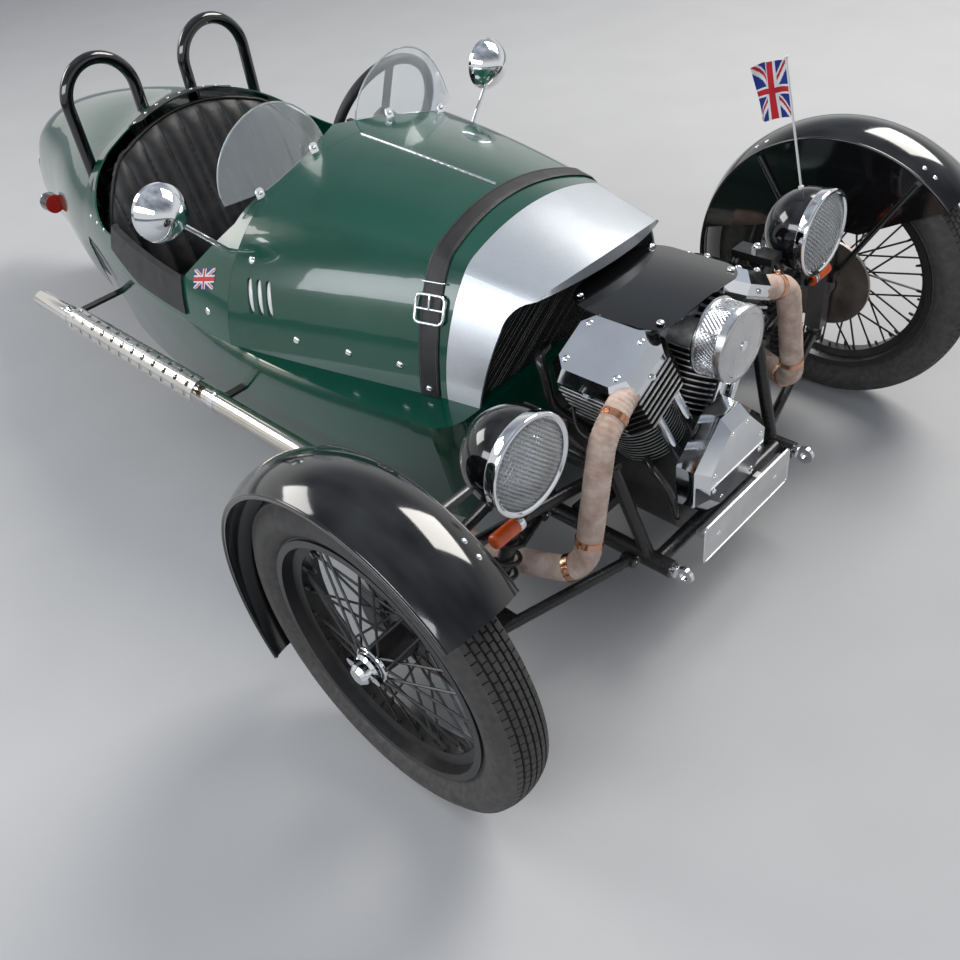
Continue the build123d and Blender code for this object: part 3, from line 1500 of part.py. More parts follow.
with BuildPart() as headlamp_lenses:
    for side in (-1, 1):
        centre = (lamp_x, side * lamp_y, lamp_z)
        lens_edge = lamp_radius - 6 - lens_gap
        lens_front = bezel_length - 6
        ball_radius = (lens_edge ** 2 + lens_dome ** 2) / (2 * lens_dome)
        half_angle = 0.5 * math.degrees(math.asin(lens_edge / ball_radius))
        on_ball = polar(ball_radius, half_angle)
        middle = (lens_front + lens_dome - ball_radius + on_ball[0], on_ball[1])
        with BuildSketch(Plane(origin=centre, x_dir=(1, 0, 0), z_dir=(0, -1, 0))):
            with BuildLine():
                Line((4, 0), (4, lens_edge))
                Line((4, lens_edge), (lens_front, lens_edge))
                ThreePointArc((lens_front, lens_edge), middle, (lens_front + lens_dome, 0))
                Line((lens_front + lens_dome, 0), (4, 0))
            make_face()
        revolve(axis=Axis(centre, (1, 0, 0)))
save(headlamp_lenses.part, "headlamp_lenses")

# Amber indicators under the lamps.
with BuildPart() as indicators:
    for side in (-1, 1):
        with BuildSketch(Plane(origin=(indicator_x, side * indicator_y, indicator_z), z_dir=(0, side, 0))):
            Circle(indicator_radius)
        extrude(amount=indicator_length)
    fillet(indicators.edges().group_by(Axis.Y)[0] + indicators.edges().group_by(Axis.Y)[-1], 9)
save(indicators.part, "indicators")

# Grille behind the mouth of the cowl.
grille_set_back = 22.0
grille_thickness = 3.0
with BuildPart() as grille:
    add(cowl_solid(panel + 3 * seat_gap, 0.0, 0.0))
    with BuildSketch(Plane.XZ):
        with BuildLine():
            Polyline(
                (cowl_foot_x - grille_set_back, 380),
                (cowl_foot_x + 120 - grille_set_back, 980),
                (cowl_foot_x + 120 - grille_set_back - grille_thickness, 980),
                (cowl_foot_x - grille_set_back - grille_thickness, 380),
                close=True,
            )
        make_face()
    extrude(amount=500, both=True, mode=Mode.INTERSECT)
save(grille.part, "grille")

# Leather strap across the bonnet just behind the cowl, with a buckle on each flank.
strap_top_x = 889.0
strap_foot_x = 931.0
strap_width = 48.0
strap_thickness = 4.0
strap_foot_z = 500.0
buckle_length = 62.0
buckle_width = 66.0
buckle_bar = 7.0
strap_run = strap_foot_x - strap_top_x
with BuildPart() as bonnet_strap:
    loft([upper_section(row, -strap_thickness) for row in bonnet_rows])
    loft([upper_section(row, -seat_gap, 30.0) for row in stretched(bonnet_rows, 3.0)], mode=Mode.SUBTRACT)
    with BuildSketch(Plane.XZ):
        with BuildLine():
            Polyline(
                (strap_foot_x - strap_width / 2, strap_foot_z),
                (strap_foot_x + strap_width / 2, strap_foot_z),
                (strap_top_x + strap_width / 2, 780),
                (strap_top_x + strap_width / 2, 900),
                (strap_top_x - strap_width / 2, 900),
                (strap_top_x - strap_width / 2, 780),
                close=True,
            )
        make_face()
    extrude(amount=hull_corner_y, both=True, mode=Mode.INTERSECT)
buckle_z = 655.0
buckle_x = strap_top_x + strap_run * (780 - buckle_z) / (780 - strap_foot_z)
buckle_y = 306.0
buckle_lean = 31.0
with BuildPart() as strap_buckles:
    for side in (-1, 1):
        out = (0, side * math.cos(math.radians(buckle_lean)), math.sin(math.radians(buckle_lean)))
        with BuildSketch(Plane(origin=(buckle_x, side * buckle_y, buckle_z), x_dir=(1, 0, 0), z_dir=out)):
            RectangleRounded(buckle_width, buckle_length, 9)
            RectangleRounded(
                buckle_width - 2 * buckle_bar, buckle_length - 2 * buckle_bar, 4, mode=Mode.SUBTRACT
            )
            Rectangle(buckle_bar, buckle_length - buckle_bar)
        extrude(amount=26, both=True)
    loft([upper_section(row, -strap_thickness - 6) for row in bonnet_rows], mode=Mode.INTERSECT)
    loft(
        [upper_section(row, -strap_thickness - seat_gap, 30.0) for row in stretched(bonnet_rows, 3.0)],
        mode=Mode.SUBTRACT,
    )
with BuildPart() as strap:
    add(bonnet_strap.part)
    add(strap_buckles.part)
save(strap.part, "bonnet_strap")

# Steering wheel on its column.
wheel_face = Plane(origin=wheel_centre, x_dir=(0, 1, 0), z_dir=column_dir)
with BuildPart() as steering_wheel:
    with BuildSketch(Plane(origin=wheel_centre, x_dir=(0, 1, 0), z_dir=wheel_face.y_dir)):
        with Locations((steering_radius, 0)):
            Circle(grip_radius)
    revolve(axis=Axis(wheel_centre, column_dir))
    with BuildSketch(wheel_face):
        for turn in (90, 210, 330):
            with Locations(
                Location(
                    (
                        0.5 * steering_radius * math.cos(math.radians(turn)),
                        0.5 * steering_radius * math.sin(math.radians(turn)),
                        0,
                    ),
                    (0, 0, turn),
                )
            ):
                Rectangle(steering_radius, 26)
    extrude(amount=4)
    with BuildSketch(wheel_face.offset(-10)):
        Circle(34)
    extrude(amount=50)
    add(rod(wheel_centre, column_end, column_radius))
save(steering_wheel.part, "steering_wheel")

# Rear frame inside the tail: pivot rails, damper cross tube and the bevel box.
pivot_x = -640.0
pivot_z = 300.0
rail_half_width = 150.0
damper_top = (-752.0, 160.0, 566.0)
damper_foot = (-905.0, 134.0, 330.0)
rail_radius = 14.0
bevel_radius = 74.0
with BuildPart() as rear_frame:
    for side in (-1, 1):
        y = side * rail_half_width
        add(rod((hull_rear_x, y, pivot_z), (pivot_x, y, pivot_z), rail_radius))
        add(rod((hull_rear_x, y, 484), (damper_top[0], y, damper_top[2] - 4), rail_radius - 2))
    split(bisect_by=Plane.YZ.offset(hull_rear_x - seat_gap), keep=Keep.BOTTOM)
    add(
        rod(
            (pivot_x, -rail_half_width - 20, pivot_z),
            (pivot_x, rail_half_width + 20, pivot_z),
            rail_radius + 6,
        )
    )
    add(
        rod(
            (damper_top[0], -damper_top[1] - 20, damper_top[2]),
            (damper_top[0], damper_top[1] + 20, damper_top[2]),
            rail_radius,
        )
    )
    with BuildSketch(Plane(origin=(pivot_x + 80, -70, pivot_z), z_dir=(0, 1, 0))):
        Circle(bevel_radius)
    extrude(amount=140)

# Swing arm: two blades from the pivot tube to the rear axle, joined ahead of the wheel.
arm_inner_y = rear_tyre_width / 2 + 10.0
arm_blade = 14.0
axle_radius = 13.0
with BuildPart() as swing_arm:
    for side in (-1, 1):
        with BuildSketch(Plane(origin=(0, side * arm_inner_y, 0), x_dir=(1, 0, 0), z_dir=(0, -side, 0))):
            with BuildLine():
                Polyline(
                    (pivot_x + 34, side * (pivot_z + 26)),
                    (pivot_x + 34, side * (pivot_z - 26)),
                    (rear_axle_x - 30, side * (rear_tyre_radius - 26)),
                    (rear_axle_x - 30, side * (rear_tyre_radius + 26)),
                    close=True,
                )
            make_face()
        extrude(amount=-arm_blade)
    with Locations((pivot_x - 50, 0, pivot_z)):
        Box(40, 2 * (arm_inner_y + arm_blade), 44)
    add(
        rod(
            (pivot_x, -rail_half_width, pivot_z),
            (pivot_x, rail_half_width, pivot_z),
            rail_radius + 6 + seat_gap,
        ),
        mode=Mode.SUBTRACT,
    )
    add(rod(
        (rear_axle_x, -arm_inner_y - arm_blade, rear_tyre_radius),
        (rear_axle_x, arm_inner_y + arm_blade, rear_tyre_radius),
        axle_radius,
    ))
with BuildPart() as rear_suspension:
    add(rear_frame.part)
    add(swing_arm.part)
save(rear_suspension.part, "rear_suspension")

# Rear wheel: wide tyre on a five-spoke rim with the toothed pulley of the final drive.
rear_plane = Plane(origin=(rear_axle_x, 0, rear_tyre_radius), x_dir=(1, 0, 0), z_dir=(0, 0, 1))
with BuildPart() as rear_rim:
    half = rear_rim_half_width
    add(ring(rear_plane, (
        (rear_rim_radius, -half), (rear_rim_radius, half), (rear_rim_radius - 16, half),
        (rear_rim_radius - 30, 20), (rear_rim_radius - 30, -20), (rear_rim_radius - 16, -half),
    )))
    add(ring(rear_plane, (
        (
            axle_radius + seat_gap, -half
        ), (rear_hub_radius, -half), (rear_hub_radius, half), (axle_radius + seat_gap, half),
    )))
    for index in range(rear_spoke_count):
        angle = 360.0 / rear_spoke_count * index
        out = polar(1.0, angle)
        middle = (rear_hub_radius + rear_rim_radius - 30) / 2
        with BuildSketch(Plane(
            origin=rear_plane.from_local_coords((middle * out[0], 0, middle * out[1])),
            x_dir=(0, 1, 0),
            z_dir=(out[0], 0, out[1]),
        )):
            RectangleRounded(60, 34, 12)
        extrude(amount=(rear_rim_radius - rear_hub_radius - 20) / 2, both=True)
save(rear_rim.part, "rear_rim")
save(
    tyre(
        rear_plane,
        rear_tyre_radius,
        rear_tyre_width,
        rear_rim_radius + seat_gap,
        rear_rim_half_width - 6,
        4.0,
    ),
    "rear_tyre",
)

# Rear dampers from the swing arm to the cross tube.
with BuildPart() as rear_dampers:
    for side in (-1, 1):
        foot = (damper_foot[0], side * damper_foot[1], damper_foot[2])
        top = (damper_top[0], side * damper_top[1], damper_top[2])
        add(rod(foot, top, 12.0))
        run = Vector(*top) - Vector(*foot)
        low = Vector(*foot) + run * 0.22
        high = Vector(*foot) + run * 0.86
        add(rod(tuple(low), tuple(high), 26.0))
    add(swing_arm.part, mode=Mode.SUBTRACT)
    add(rear_frame.part, mode=Mode.SUBTRACT)
    add(
        rod(
            (damper_top[0], -damper_top[1] - 40, damper_top[2]),
            (damper_top[0], damper_top[1] + 40, damper_top[2]),
            rail_radius + seat_gap,
        ),
        mode=Mode.SUBTRACT,
    )
    with Locations((damper_top[0], 0, damper_top[2])):
        Box(80, 500, 120, align=(Align.CENTER, Align.CENTER, Align.MIN), mode=Mode.SUBTRACT)
with BuildPart() as dampers:
    add(coil_springs.part)
    add(rear_dampers.part)
save(dampers.part, "spring_dampers")

# Round rear lamps on short stalks at the tail's flanks.
rear_lamp = (-985.0, 262.0, 452.0)
rear_lamp_radius = 30.0
rear_lamp_depth = 44.0
with BuildPart() as rear_lamps:
    for side in (-1, 1):
        back = (rear_lamp[0], side * rear_lamp[1], rear_lamp[2])
        with BuildSketch(Plane(origin=back, z_dir=(1, 0, 0))):
            Circle(rear_lamp_radius)
        extrude(amount=rear_lamp_depth)
        add(rod(
            (rear_lamp[0] + rear_lamp_depth / 2, side * rear_lamp[1], rear_lamp[2]),
            (rear_lamp[0] + rear_lamp_depth / 2, side * 190, rear_lamp[2] - 6),
            7.0,
        ))
    loft([tail_section(row, -seat_gap) for row in tail_rows], mode=Mode.SUBTRACT)
save(rear_lamps.part, "rear_lamps")

# Blank number plate on a bracket below the front cover.
plate_x = 1500.0
plate_z = 226.0
plate_width = 330.0
plate_height = 96.0
plate_thickness = 3.0
with BuildPart() as number_plate:
    with BuildSketch(Plane(origin=(plate_x, 0, plate_z), x_dir=(0, 1, 0), z_dir=(1, 0, 0))):
        RectangleRounded(plate_width, plate_height, 10)
    extrude(amount=plate_thickness)
    for side in (-1, 1):
        with Locations((plate_x, side * 110, frame_low_z)):
            Box(
                plate_x - front_cross_x - cross_tube_radius - seat_gap,
                20,
                12,
                align=(Align.MAX, Align.CENTER, Align.CENTER),
            )
save(number_plate.part, "number_plate")

# Small flag on a thin staff behind the left lamp.
staff_foot = (1304.0, lamp_y, 660.0)
staff_top = (1234.0, lamp_y, 962.0)
staff_radius = 2.5
flag_drop = 140.0
flag_length = 66.0
with BuildPart() as flag_staff:
    add(rod(staff_foot, staff_top, staff_radius))
    with BuildPart(mode=Mode.PRIVATE) as bowl_ball:
        with Locations((lamp_x + bowl_ball_x, lamp_y, lamp_z)):
            Sphere(bowl_ball_radius + seat_gap)
    add(bowl_ball.part, mode=Mode.SUBTRACT)
staff_run = Vector(*staff_top) - Vector(*staff_foot)
with BuildPart() as flag:
    with BuildSketch(Plane.XZ.offset(-lamp_y - 0.8)):
        with BuildLine():
            grow = staff_radius + seat_gap
            high = Vector(*staff_top) - staff_run.normalized() * 8
            low = high - staff_run.normalized() * flag_drop
            Polyline(
                (high.X - grow, high.Z),
                (low.X - grow, low.Z),
                (low.X - grow - flag_length, low.Z - 22),
                (high.X - grow - flag_length + 14, high.Z - 62),
                close=True,
            )
        make_face()
    extrude(amount=1.6)
    add(flag_staff.part)
save(flag.part, "flag")
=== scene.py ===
import math

import bmesh
import bpy
from mathutils import Matrix, Vector
from mathutils.bvhtree import BVHTree


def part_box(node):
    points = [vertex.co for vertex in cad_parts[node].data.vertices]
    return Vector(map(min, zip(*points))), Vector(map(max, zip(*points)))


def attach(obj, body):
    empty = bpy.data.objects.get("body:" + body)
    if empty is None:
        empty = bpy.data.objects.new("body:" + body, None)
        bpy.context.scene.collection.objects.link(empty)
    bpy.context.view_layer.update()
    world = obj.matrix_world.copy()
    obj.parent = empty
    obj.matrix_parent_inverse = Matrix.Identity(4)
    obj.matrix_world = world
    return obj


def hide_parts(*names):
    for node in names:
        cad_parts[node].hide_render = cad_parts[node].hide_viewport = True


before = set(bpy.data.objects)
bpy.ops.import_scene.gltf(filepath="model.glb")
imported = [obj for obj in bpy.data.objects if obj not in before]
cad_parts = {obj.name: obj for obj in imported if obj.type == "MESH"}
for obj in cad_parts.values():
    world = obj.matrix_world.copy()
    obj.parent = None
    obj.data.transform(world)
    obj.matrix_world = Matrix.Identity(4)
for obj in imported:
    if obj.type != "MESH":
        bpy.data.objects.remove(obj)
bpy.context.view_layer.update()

scene = bpy.context.scene

# Places and sizes repeated from the CAD source, in metres.
FRONT_AXLE_X = 1.2715
REAR_AXLE_X = -1.0785
HALF_TRACK = 0.799
FRONT_TYRE_RADIUS = 0.341
REAR_TYRE_RADIUS = 0.310
ENGINE_X, CRANK_Z = 1.290, 0.268
VEE_LEAN = math.radians(28.0)
PIPE_Y, PIPE_Z = 0.530, 0.336
PIPE_END_X = -0.440
# Sine of the height above the horizon at which the plain backdrop ends.
BACKDROP_TOP = 0.30


# Camera, floor, light.
def aim_camera(place, right, up, lens):
    """The photograph's camera: where it stands, and its own right and up directions."""
    data = bpy.data.cameras.new("photo camera")
    data.sensor_width = 36.0
    data.lens = lens
    data.clip_start = 0.05
    data.clip_end = 200.0
    camera = bpy.data.objects.new("photo_camera", data)
    scene.collection.objects.link(camera)
    side = Vector(right).normalized()
    back = side.cross(Vector(up)).normalized()
    top = back.cross(side)
    turn = Matrix((side, top, back)).transposed().to_4x4()
    camera.matrix_world = Matrix.Translation(place) @ turn
    scene.camera = camera


def soft_lamp(name, place, target, size, watts, tint):
    data = bpy.data.lights.new(name, "AREA")
    data.shape = "RECTANGLE"
    data.size, data.size_y = size
    data.energy = watts
    data.color = tint
    lamp = bpy.data.objects.new(name, data)
    scene.collection.objects.link(lamp)
    lamp.location = place
    lamp.rotation_mode = "QUATERNION"
    lamp.rotation_quaternion = (Vector(target) - Vector(place)).to_track_quat("-Z", "Y")


def shown_rays(tree):
    """A mask of the rays that show the pale backdrop: the camera's own, and those of metal and glass."""
    ray = tree.nodes.new("ShaderNodeLightPath")
    mask = ray.outputs["Is Camera Ray"]
    for name in ("Is Glossy Ray", "Is Transmission Ray"):
        mask = add_math(tree, "MAXIMUM", mask, ray.outputs[name])
    return mask


def studio_world():
    """Pale even surroundings, a little darker towards the horizon so that bright metal shows form."""
    world = bpy.data.worlds.new("studio")
    world.use_nodes = True
    scene.world = world
    nodes, links = world.node_tree.nodes, world.node_tree.links
    back = nodes["Background"]
    where = nodes.new("ShaderNodeTexCoord")
    split = nodes.new("ShaderNodeSeparateXYZ")
    ramp = nodes.new("ShaderNodeValToRGB")
    links.new(where.outputs["Generated"], split.inputs["Vector"])
    links.new(split.outputs["Z"], ramp.inputs["Fac"])
    ramp.color_ramp.elements[0].position = 0.0
    ramp.color_ramp.elements[0].color = (0.13, 0.135, 0.14, 1)
    ramp.color_ramp.elements[1].position = 1.0
    ramp.color_ramp.elements[1].color = (0.66, 0.70, 0.76, 1)
    middle = ramp.color_ramp.elements.new(0.22)
    middle.color = (0.22, 0.23, 0.245, 1)
    # Soft light and dark patches, so that bright metal has something to show.
    patches = nodes.new("ShaderNodeTexNoise")
    patches.inputs["Scale"].default_value = 2.0
    patches.inputs["Detail"].default_value = 1.0
    links.new(where.outputs["Generated"], patches.inputs["Vector"])
    depth = nodes.new("ShaderNodeValToRGB")
    depth.color_ramp.elements[0].position = 0.28
    depth.color_ramp.elements[0].color = (0.42, 0.43, 0.45, 1)
    depth.color_ramp.elements[1].position = 0.72
    depth.color_ramp.elements[1].color = (1.22, 1.25, 1.29, 1)
    links.new(patches.outputs["Fac"], depth.inputs["Fac"])
    mottled = nodes.new("ShaderNodeMix")
    mottled.data_type = "RGBA"
    mottled.blend_type = "MULTIPLY"
    mottled.inputs[0].default_value = 1.0
    links.new(ramp.outputs["Color"], mottled.inputs[6])
    links.new(depth.outputs["Color"], mottled.inputs[7])
    # The camera, metal and glass see a plain pale backdrop, with the patches above its edge.
    tree = world.node_tree
    height = ramp_between(tree, split.outputs["Z"], BACKDROP_TOP, BACKDROP_TOP + 0.25)
    pale = blend_colours(tree, height, (0.88, 0.885, 0.89, 1), mottled.outputs[2])
    links.new(blend_colours(tree, shown_rays(tree), mottled.outputs[2], pale), back.inputs["Color"])
    back.inputs["Strength"].default_value = 0.85


def studio_floor():
    """A plain pale grey floor."""
    mesh = bpy.data.meshes.new("studio_floor")
    reach = 60.0
    mesh.from_pydata(
        [(-reach, -reach, 0), (reach, -reach, 0), (reach, reach, 0), (-reach, reach, 0)], [], [(0, 1, 2, 3)]
    )
    floor = bpy.data.objects.new("studio_floor", mesh)
    scene.collection.objects.link(floor)
    material = bpy.data.materials.new("pale floor")
    material.use_nodes = True
    nodes, links = material.node_tree.nodes, material.node_tree.links
    shader = nodes["Principled BSDF"]
    noise = nodes.new("ShaderNodeTexNoise")
    noise.inputs["Scale"].default_value = 3.0
    noise.inputs["Detail"].default_value = 6.0
    where = nodes.new("ShaderNodeTexCoord")
    ramp = nodes.new("ShaderNodeValToRGB")
    ramp.color_ramp.elements[0].color = (0.40, 0.40, 0.405, 1)
    ramp.color_ramp.elements[1].color = (0.45, 0.45, 0.455, 1)
    links.new(where.outputs["Object"], noise.inputs["Vector"])
    links.new(noise.outputs["Fac"], ramp.inputs["Fac"])
    links.new(ramp.outputs["Color"], shader.inputs["Base Color"])
    shader.inputs["Roughness"].default_value = 0.85
    shader.inputs["Specular IOR Level"].default_value = 0.2
    floor.data.materials.append(material)


# Shared effects.
def open_group(name, inputs, outputs):
    tree = bpy.data.node_groups.new(name, "ShaderNodeTree")
    for label, kind, value in inputs:
        socket = tree.interface.new_socket(name=label, in_out="INPUT", socket_type=kind)
        socket.default_value = value
    for label, kind in outputs:
        tree.interface.new_socket(name=label, in_out="OUTPUT", socket_type=kind)
    return tree, tree.nodes.new("NodeGroupInput"), tree.nodes.new("NodeGroupOutput")


FLOAT, COLOUR, VECTOR = "NodeSocketFloat", "NodeSocketColor", "NodeSocketVector"


def add_math(tree, operation, first, second=None, clamp=False):
    node = tree.nodes.new("ShaderNodeMath")
    node.operation = operation
    node.use_clamp = clamp
    for slot, value in ((0, first), (1, second)):
        if isinstance(value, (int, float)):
            node.inputs[slot].default_value = value
        elif value is not None:
            tree.links.new(value, node.inputs[slot])
    return node.outputs[0]


def object_place(tree):
    return tree.nodes.new("ShaderNodeTexCoord").outputs["Object"]


def object_axes(tree):
    split = tree.nodes.new("ShaderNodeSeparateXYZ")
    tree.links.new(object_place(tree), split.inputs[0])
    return split.outputs


def scaled_place(tree, stretch):
    node = tree.nodes.new("ShaderNodeVectorMath")
    node.operation = "MULTIPLY"
    tree.links.new(object_place(tree), node.inputs[0])
    tree.links.new(stretch, node.inputs[1])
    return node.outputs[0]


def add_noise(tree, place, scale, detail=4.0, roughness=0.55):
    node = tree.nodes.new("ShaderNodeTexNoise")
    node.inputs["Detail"].default_value = detail
    node.inputs["Roughness"].default_value = roughness
    tree.links.new(place, node.inputs["Vector"])
    if isinstance(scale, (int, float)):
        node.inputs["Scale"].default_value = scale
    else:
        tree.links.new(scale, node.inputs["Scale"])
    return node.outputs["Fac"]


def blend_colours(tree, share, first, second):
    node = tree.nodes.new("ShaderNodeMix")
    node.data_type = "RGBA"
    tree.links.new(share, node.inputs[0])
    for slot, value in ((6, first), (7, second)):
        if isinstance(value, tuple):
            node.inputs[slot].default_value = value
        else:
            tree.links.new(value, node.inputs[slot])
    return node.outputs[2]


def ramp_between(tree, value, low, high):
    node = tree.nodes.new("ShaderNodeMapRange")
    node.clamp = True
    tree.links.new(value, node.inputs["Value"])
    node.inputs["From Min"].default_value = low
    node.inputs["From Max"].default_value = high
    return node.outputs["Result"]


def build_cloudy_colour():
    tree, entry, leave = open_group(
        "cloudy colour",
        [("Dark", COLOUR, (0, 0, 0, 1)), ("Light", COLOUR, (1, 1, 1, 1)), ("Scale", FLOAT, 4.0)],
        [("Color", COLOUR), ("Cloud", FLOAT)],
    )
    cloud = ramp_between(tree, add_noise(tree, object_place(tree), entry.outputs["Scale"], 6.0), 0.34, 0.68)
    mixed = blend_colours(tree, cloud, entry.outputs["Dark"], entry.outputs["Light"])
    tree.links.new(mixed, leave.inputs["Color"])
    tree.links.new(cloud, leave.inputs["Cloud"])


def build_smudged_gloss():
    """Roughness with faint hand marks and fine wiping lines."""
    tree, entry, leave = open_group(
        "smudged gloss",
        [("Clean", FLOAT, 0.1), ("Marked", FLOAT, 0.25), ("Scale", FLOAT, 9.0)],
        [("Roughness", FLOAT)],
    )
    wide = ramp_between(tree, add_noise(tree, object_place(tree), entry.outputs["Scale"], 7.0), 0.48, 0.75)
    spread = add_math(tree, "SUBTRACT", entry.outputs["Marked"], entry.outputs["Clean"])
    result = add_math(tree, "ADD", entry.outputs["Clean"], add_math(tree, "MULTIPLY", wide, spread))
    tree.links.new(result, leave.inputs["Roughness"])


def build_fine_grain():
    tree, entry, leave = open_group("fine grain", [("Scale", FLOAT, 300.0)], [("Height", FLOAT)])
    tree.links.new(
        add_noise(tree, object_place(tree), entry.outputs["Scale"], 5.0, 0.6), leave.inputs["Height"]
    )


def build_brushed_lines():
    """Fine drawn lines: the stretch is large across the lines and small along them."""
    tree, entry, leave = open_group(
        "brushed lines",
        [("Stretch", VECTOR, (1, 1, 1)), ("Low", FLOAT, 0.2), ("High", FLOAT, 0.4)],
        [("Height", FLOAT), ("Roughness", FLOAT)],
    )
    line = add_noise(tree, scaled_place(tree, entry.outputs["Stretch"]), 1.0, 3.0, 0.7)
    spread = add_math(tree, "SUBTRACT", entry.outputs["High"], entry.outputs["Low"])
    rough = add_math(tree, "ADD", entry.outputs["Low"], add_math(tree, "MULTIPLY", line, spread))
    tree.links.new(line, leave.inputs["Height"])
    tree.links.new(rough, leave.inputs["Roughness"])


def build_hide_grain():
    """Pebbled leather: small cells with soft creases over slow puckers."""
    tree, entry, leave = open_group(
        "hide grain", [("Scale", FLOAT, 420.0)], [("Height", FLOAT), ("Crease", FLOAT)]
    )
    cells = tree.nodes.new("ShaderNodeTexVoronoi")
    cells.feature = "DISTANCE_TO_EDGE"
    tree.links.new(object_place(tree), cells.inputs["Vector"])
    tree.links.new(entry.outputs["Scale"], cells.inputs["Scale"])
    pebble = ramp_between(tree, cells.outputs["Distance"], 0.0, 0.22)
    slow = add_noise(tree, object_place(tree), 38.0, 4.0)
    height = add_math(tree, "ADD", pebble, add_math(tree, "MULTIPLY", slow, 1.6))
    tree.links.new(height, leave.inputs["Height"])
    tree.links.new(pebble, leave.inputs["Crease"])


def build_road_dust():
    """Dust that settles more on low places and in patches."""
    tree, entry, leave = open_group(
        "road dust",
        [
            ("Color", COLOUR, (0, 0, 0, 1)), ("Dust", COLOUR, (0.3, 0.27, 0.23, 1)), ("Top", FLOAT, 0.5),
            ("Amount", FLOAT, 0.4),
        ],
        [("Color", COLOUR), ("Mask", FLOAT)],
    )
    height = add_math(tree, "DIVIDE", object_axes(tree)["Z"], entry.outputs["Top"])
    low = add_math(tree, "SUBTRACT", 1.0, height, True)
    patch = ramp_between(tree, add_noise(tree, object_place(tree), 70.0, 8.0, 0.6), 0.25, 0.85)
    mask = add_math(tree, "MULTIPLY", add_math(tree, "MULTIPLY", low, patch), entry.outputs["Amount"], True)
    tree.links.new(
        blend_colours(tree, mask, entry.outputs["Color"], entry.outputs["Dust"]), leave.inputs["Color"]
    )
    tree.links.new(mask, leave.inputs["Mask"])


def build_cross_weave():
    """Plain woven tape: threads over and under in two directions of the surface's own box."""
    tree, entry, leave = open_group("cross weave", [("Scale", FLOAT, 500.0)], [("Height", FLOAT)])
    axes = object_axes(tree)
    waves = []
    for first, second in (("X", "Z"), ("Y", "Z")):
        total = add_math(tree, "ADD", axes[first], axes[second])
        wave = add_math(tree, "SINE", add_math(tree, "MULTIPLY", total, entry.outputs["Scale"]))
        waves.append(add_math(tree, "ABSOLUTE", wave))
    tree.links.new(add_math(tree, "MULTIPLY", waves[0], waves[1]), leave.inputs["Height"])


def build_pressed_diamonds():
    """Criss-cross ridges pressed into a lens that faces forward."""
    tree, entry, leave = open_group("pressed diamonds", [("Scale", FLOAT, 700.0)], [("Height", FLOAT)])
    axes = object_axes(tree)
    waves = []
    for how in ("ADD", "SUBTRACT"):
        run = add_math(tree, how, axes["Y"], axes["Z"])
        wave = add_math(tree, "SINE", add_math(tree, "MULTIPLY", run, entry.outputs["Scale"]))
        waves.append(add_math(tree, "ABSOLUTE", wave))
    tree.links.new(add_math(tree, "MAXIMUM", waves[0], waves[1]), leave.inputs["Height"])


def build_fin_edges():
    """Marks the machined outer edges of the barrel and head fins of both leaning cylinders."""
    head_half_length, head_half_width, head_foot = 0.103, 0.088, 0.2853
    tree, entry, leave = open_group(
        "fin edges", [("Barrel", FLOAT, 0.0810), ("Head", FLOAT, 0.982)], [("Mask", FLOAT)]
    )
    axes = object_axes(tree)
    forward = add_math(tree, "ABSOLUTE", add_math(tree, "SUBTRACT", axes["X"], ENGINE_X))
    spread = add_math(tree, "ABSOLUTE", axes["Y"])
    rise = add_math(tree, "SUBTRACT", axes["Z"], CRANK_Z)
    lean_sine, lean_cosine = math.sin(VEE_LEAN), math.cos(VEE_LEAN)
    beside = add_math(
        tree, "ABSOLUTE",
        add_math(
            tree, "SUBTRACT", add_math(tree, "MULTIPLY", spread, lean_cosine),
            add_math(tree, "MULTIPLY", rise, lean_sine),
        ),
    )
    along = add_math(
        tree, "ADD", add_math(tree, "MULTIPLY", spread, lean_sine),
        add_math(tree, "MULTIPLY", rise, lean_cosine),
    )
    far = add_math(
        tree, "SQRT",
        add_math(
            tree, "ADD", add_math(tree, "MULTIPLY", forward, forward),
            add_math(tree, "MULTIPLY", beside, beside),
        )
    )
    barrel = add_math(tree, "GREATER_THAN", far, entry.outputs["Barrel"])
    box = add_math(
        tree, "MAXIMUM", add_math(tree, "DIVIDE", forward, head_half_length),
        add_math(tree, "DIVIDE", beside, head_half_width),
    )
    head = add_math(tree, "GREATER_THAN", box, entry.outputs["Head"])
    in_head = add_math(tree, "GREATER_THAN", along, head_foot)
    low = add_math(tree, "MULTIPLY", barrel, add_math(tree, "SUBTRACT", 1.0, in_head))
    mask = add_math(tree, "ADD", low, add_math(tree, "MULTIPLY", head, in_head), True)
    tree.links.new(mask, leave.inputs["Mask"])


# Finishes.
def new_finish(name, **sockets):
    """A material with its own Principled shader; uniform values go on the shader's sockets."""
    material = bpy.data.materials.new(name)
    material.use_nodes = True
    shader = material.node_tree.nodes["Principled BSDF"]
    for label, value in sockets.items():
        shader.inputs[label.replace("_", " ")].default_value = value
    return material, shader


def place_effect(material, name, **values):
    node = material.node_tree.nodes.new("ShaderNodeGroup")
    node.node_tree = bpy.data.node_groups[name]
    for label, value in values.items():
        node.inputs[label.replace("_", " ")].default_value = value
    return node


def join_sockets(material, start, end):
    material.node_tree.links.new(start, end)


def tint(material, shader, dark, light, scale):
    colour = place_effect(material, "cloudy colour", Dark=dark, Light=light, Scale=scale)
    join_sockets(material, colour.outputs["Color"], shader.inputs["Base Color"])


def smudge(material, shader, clean, marked, scale):
    gloss = place_effect(material, "smudged gloss", Clean=clean, Marked=marked, Scale=scale)
    join_sockets(material, gloss.outputs["Roughness"], shader.inputs["Roughness"])


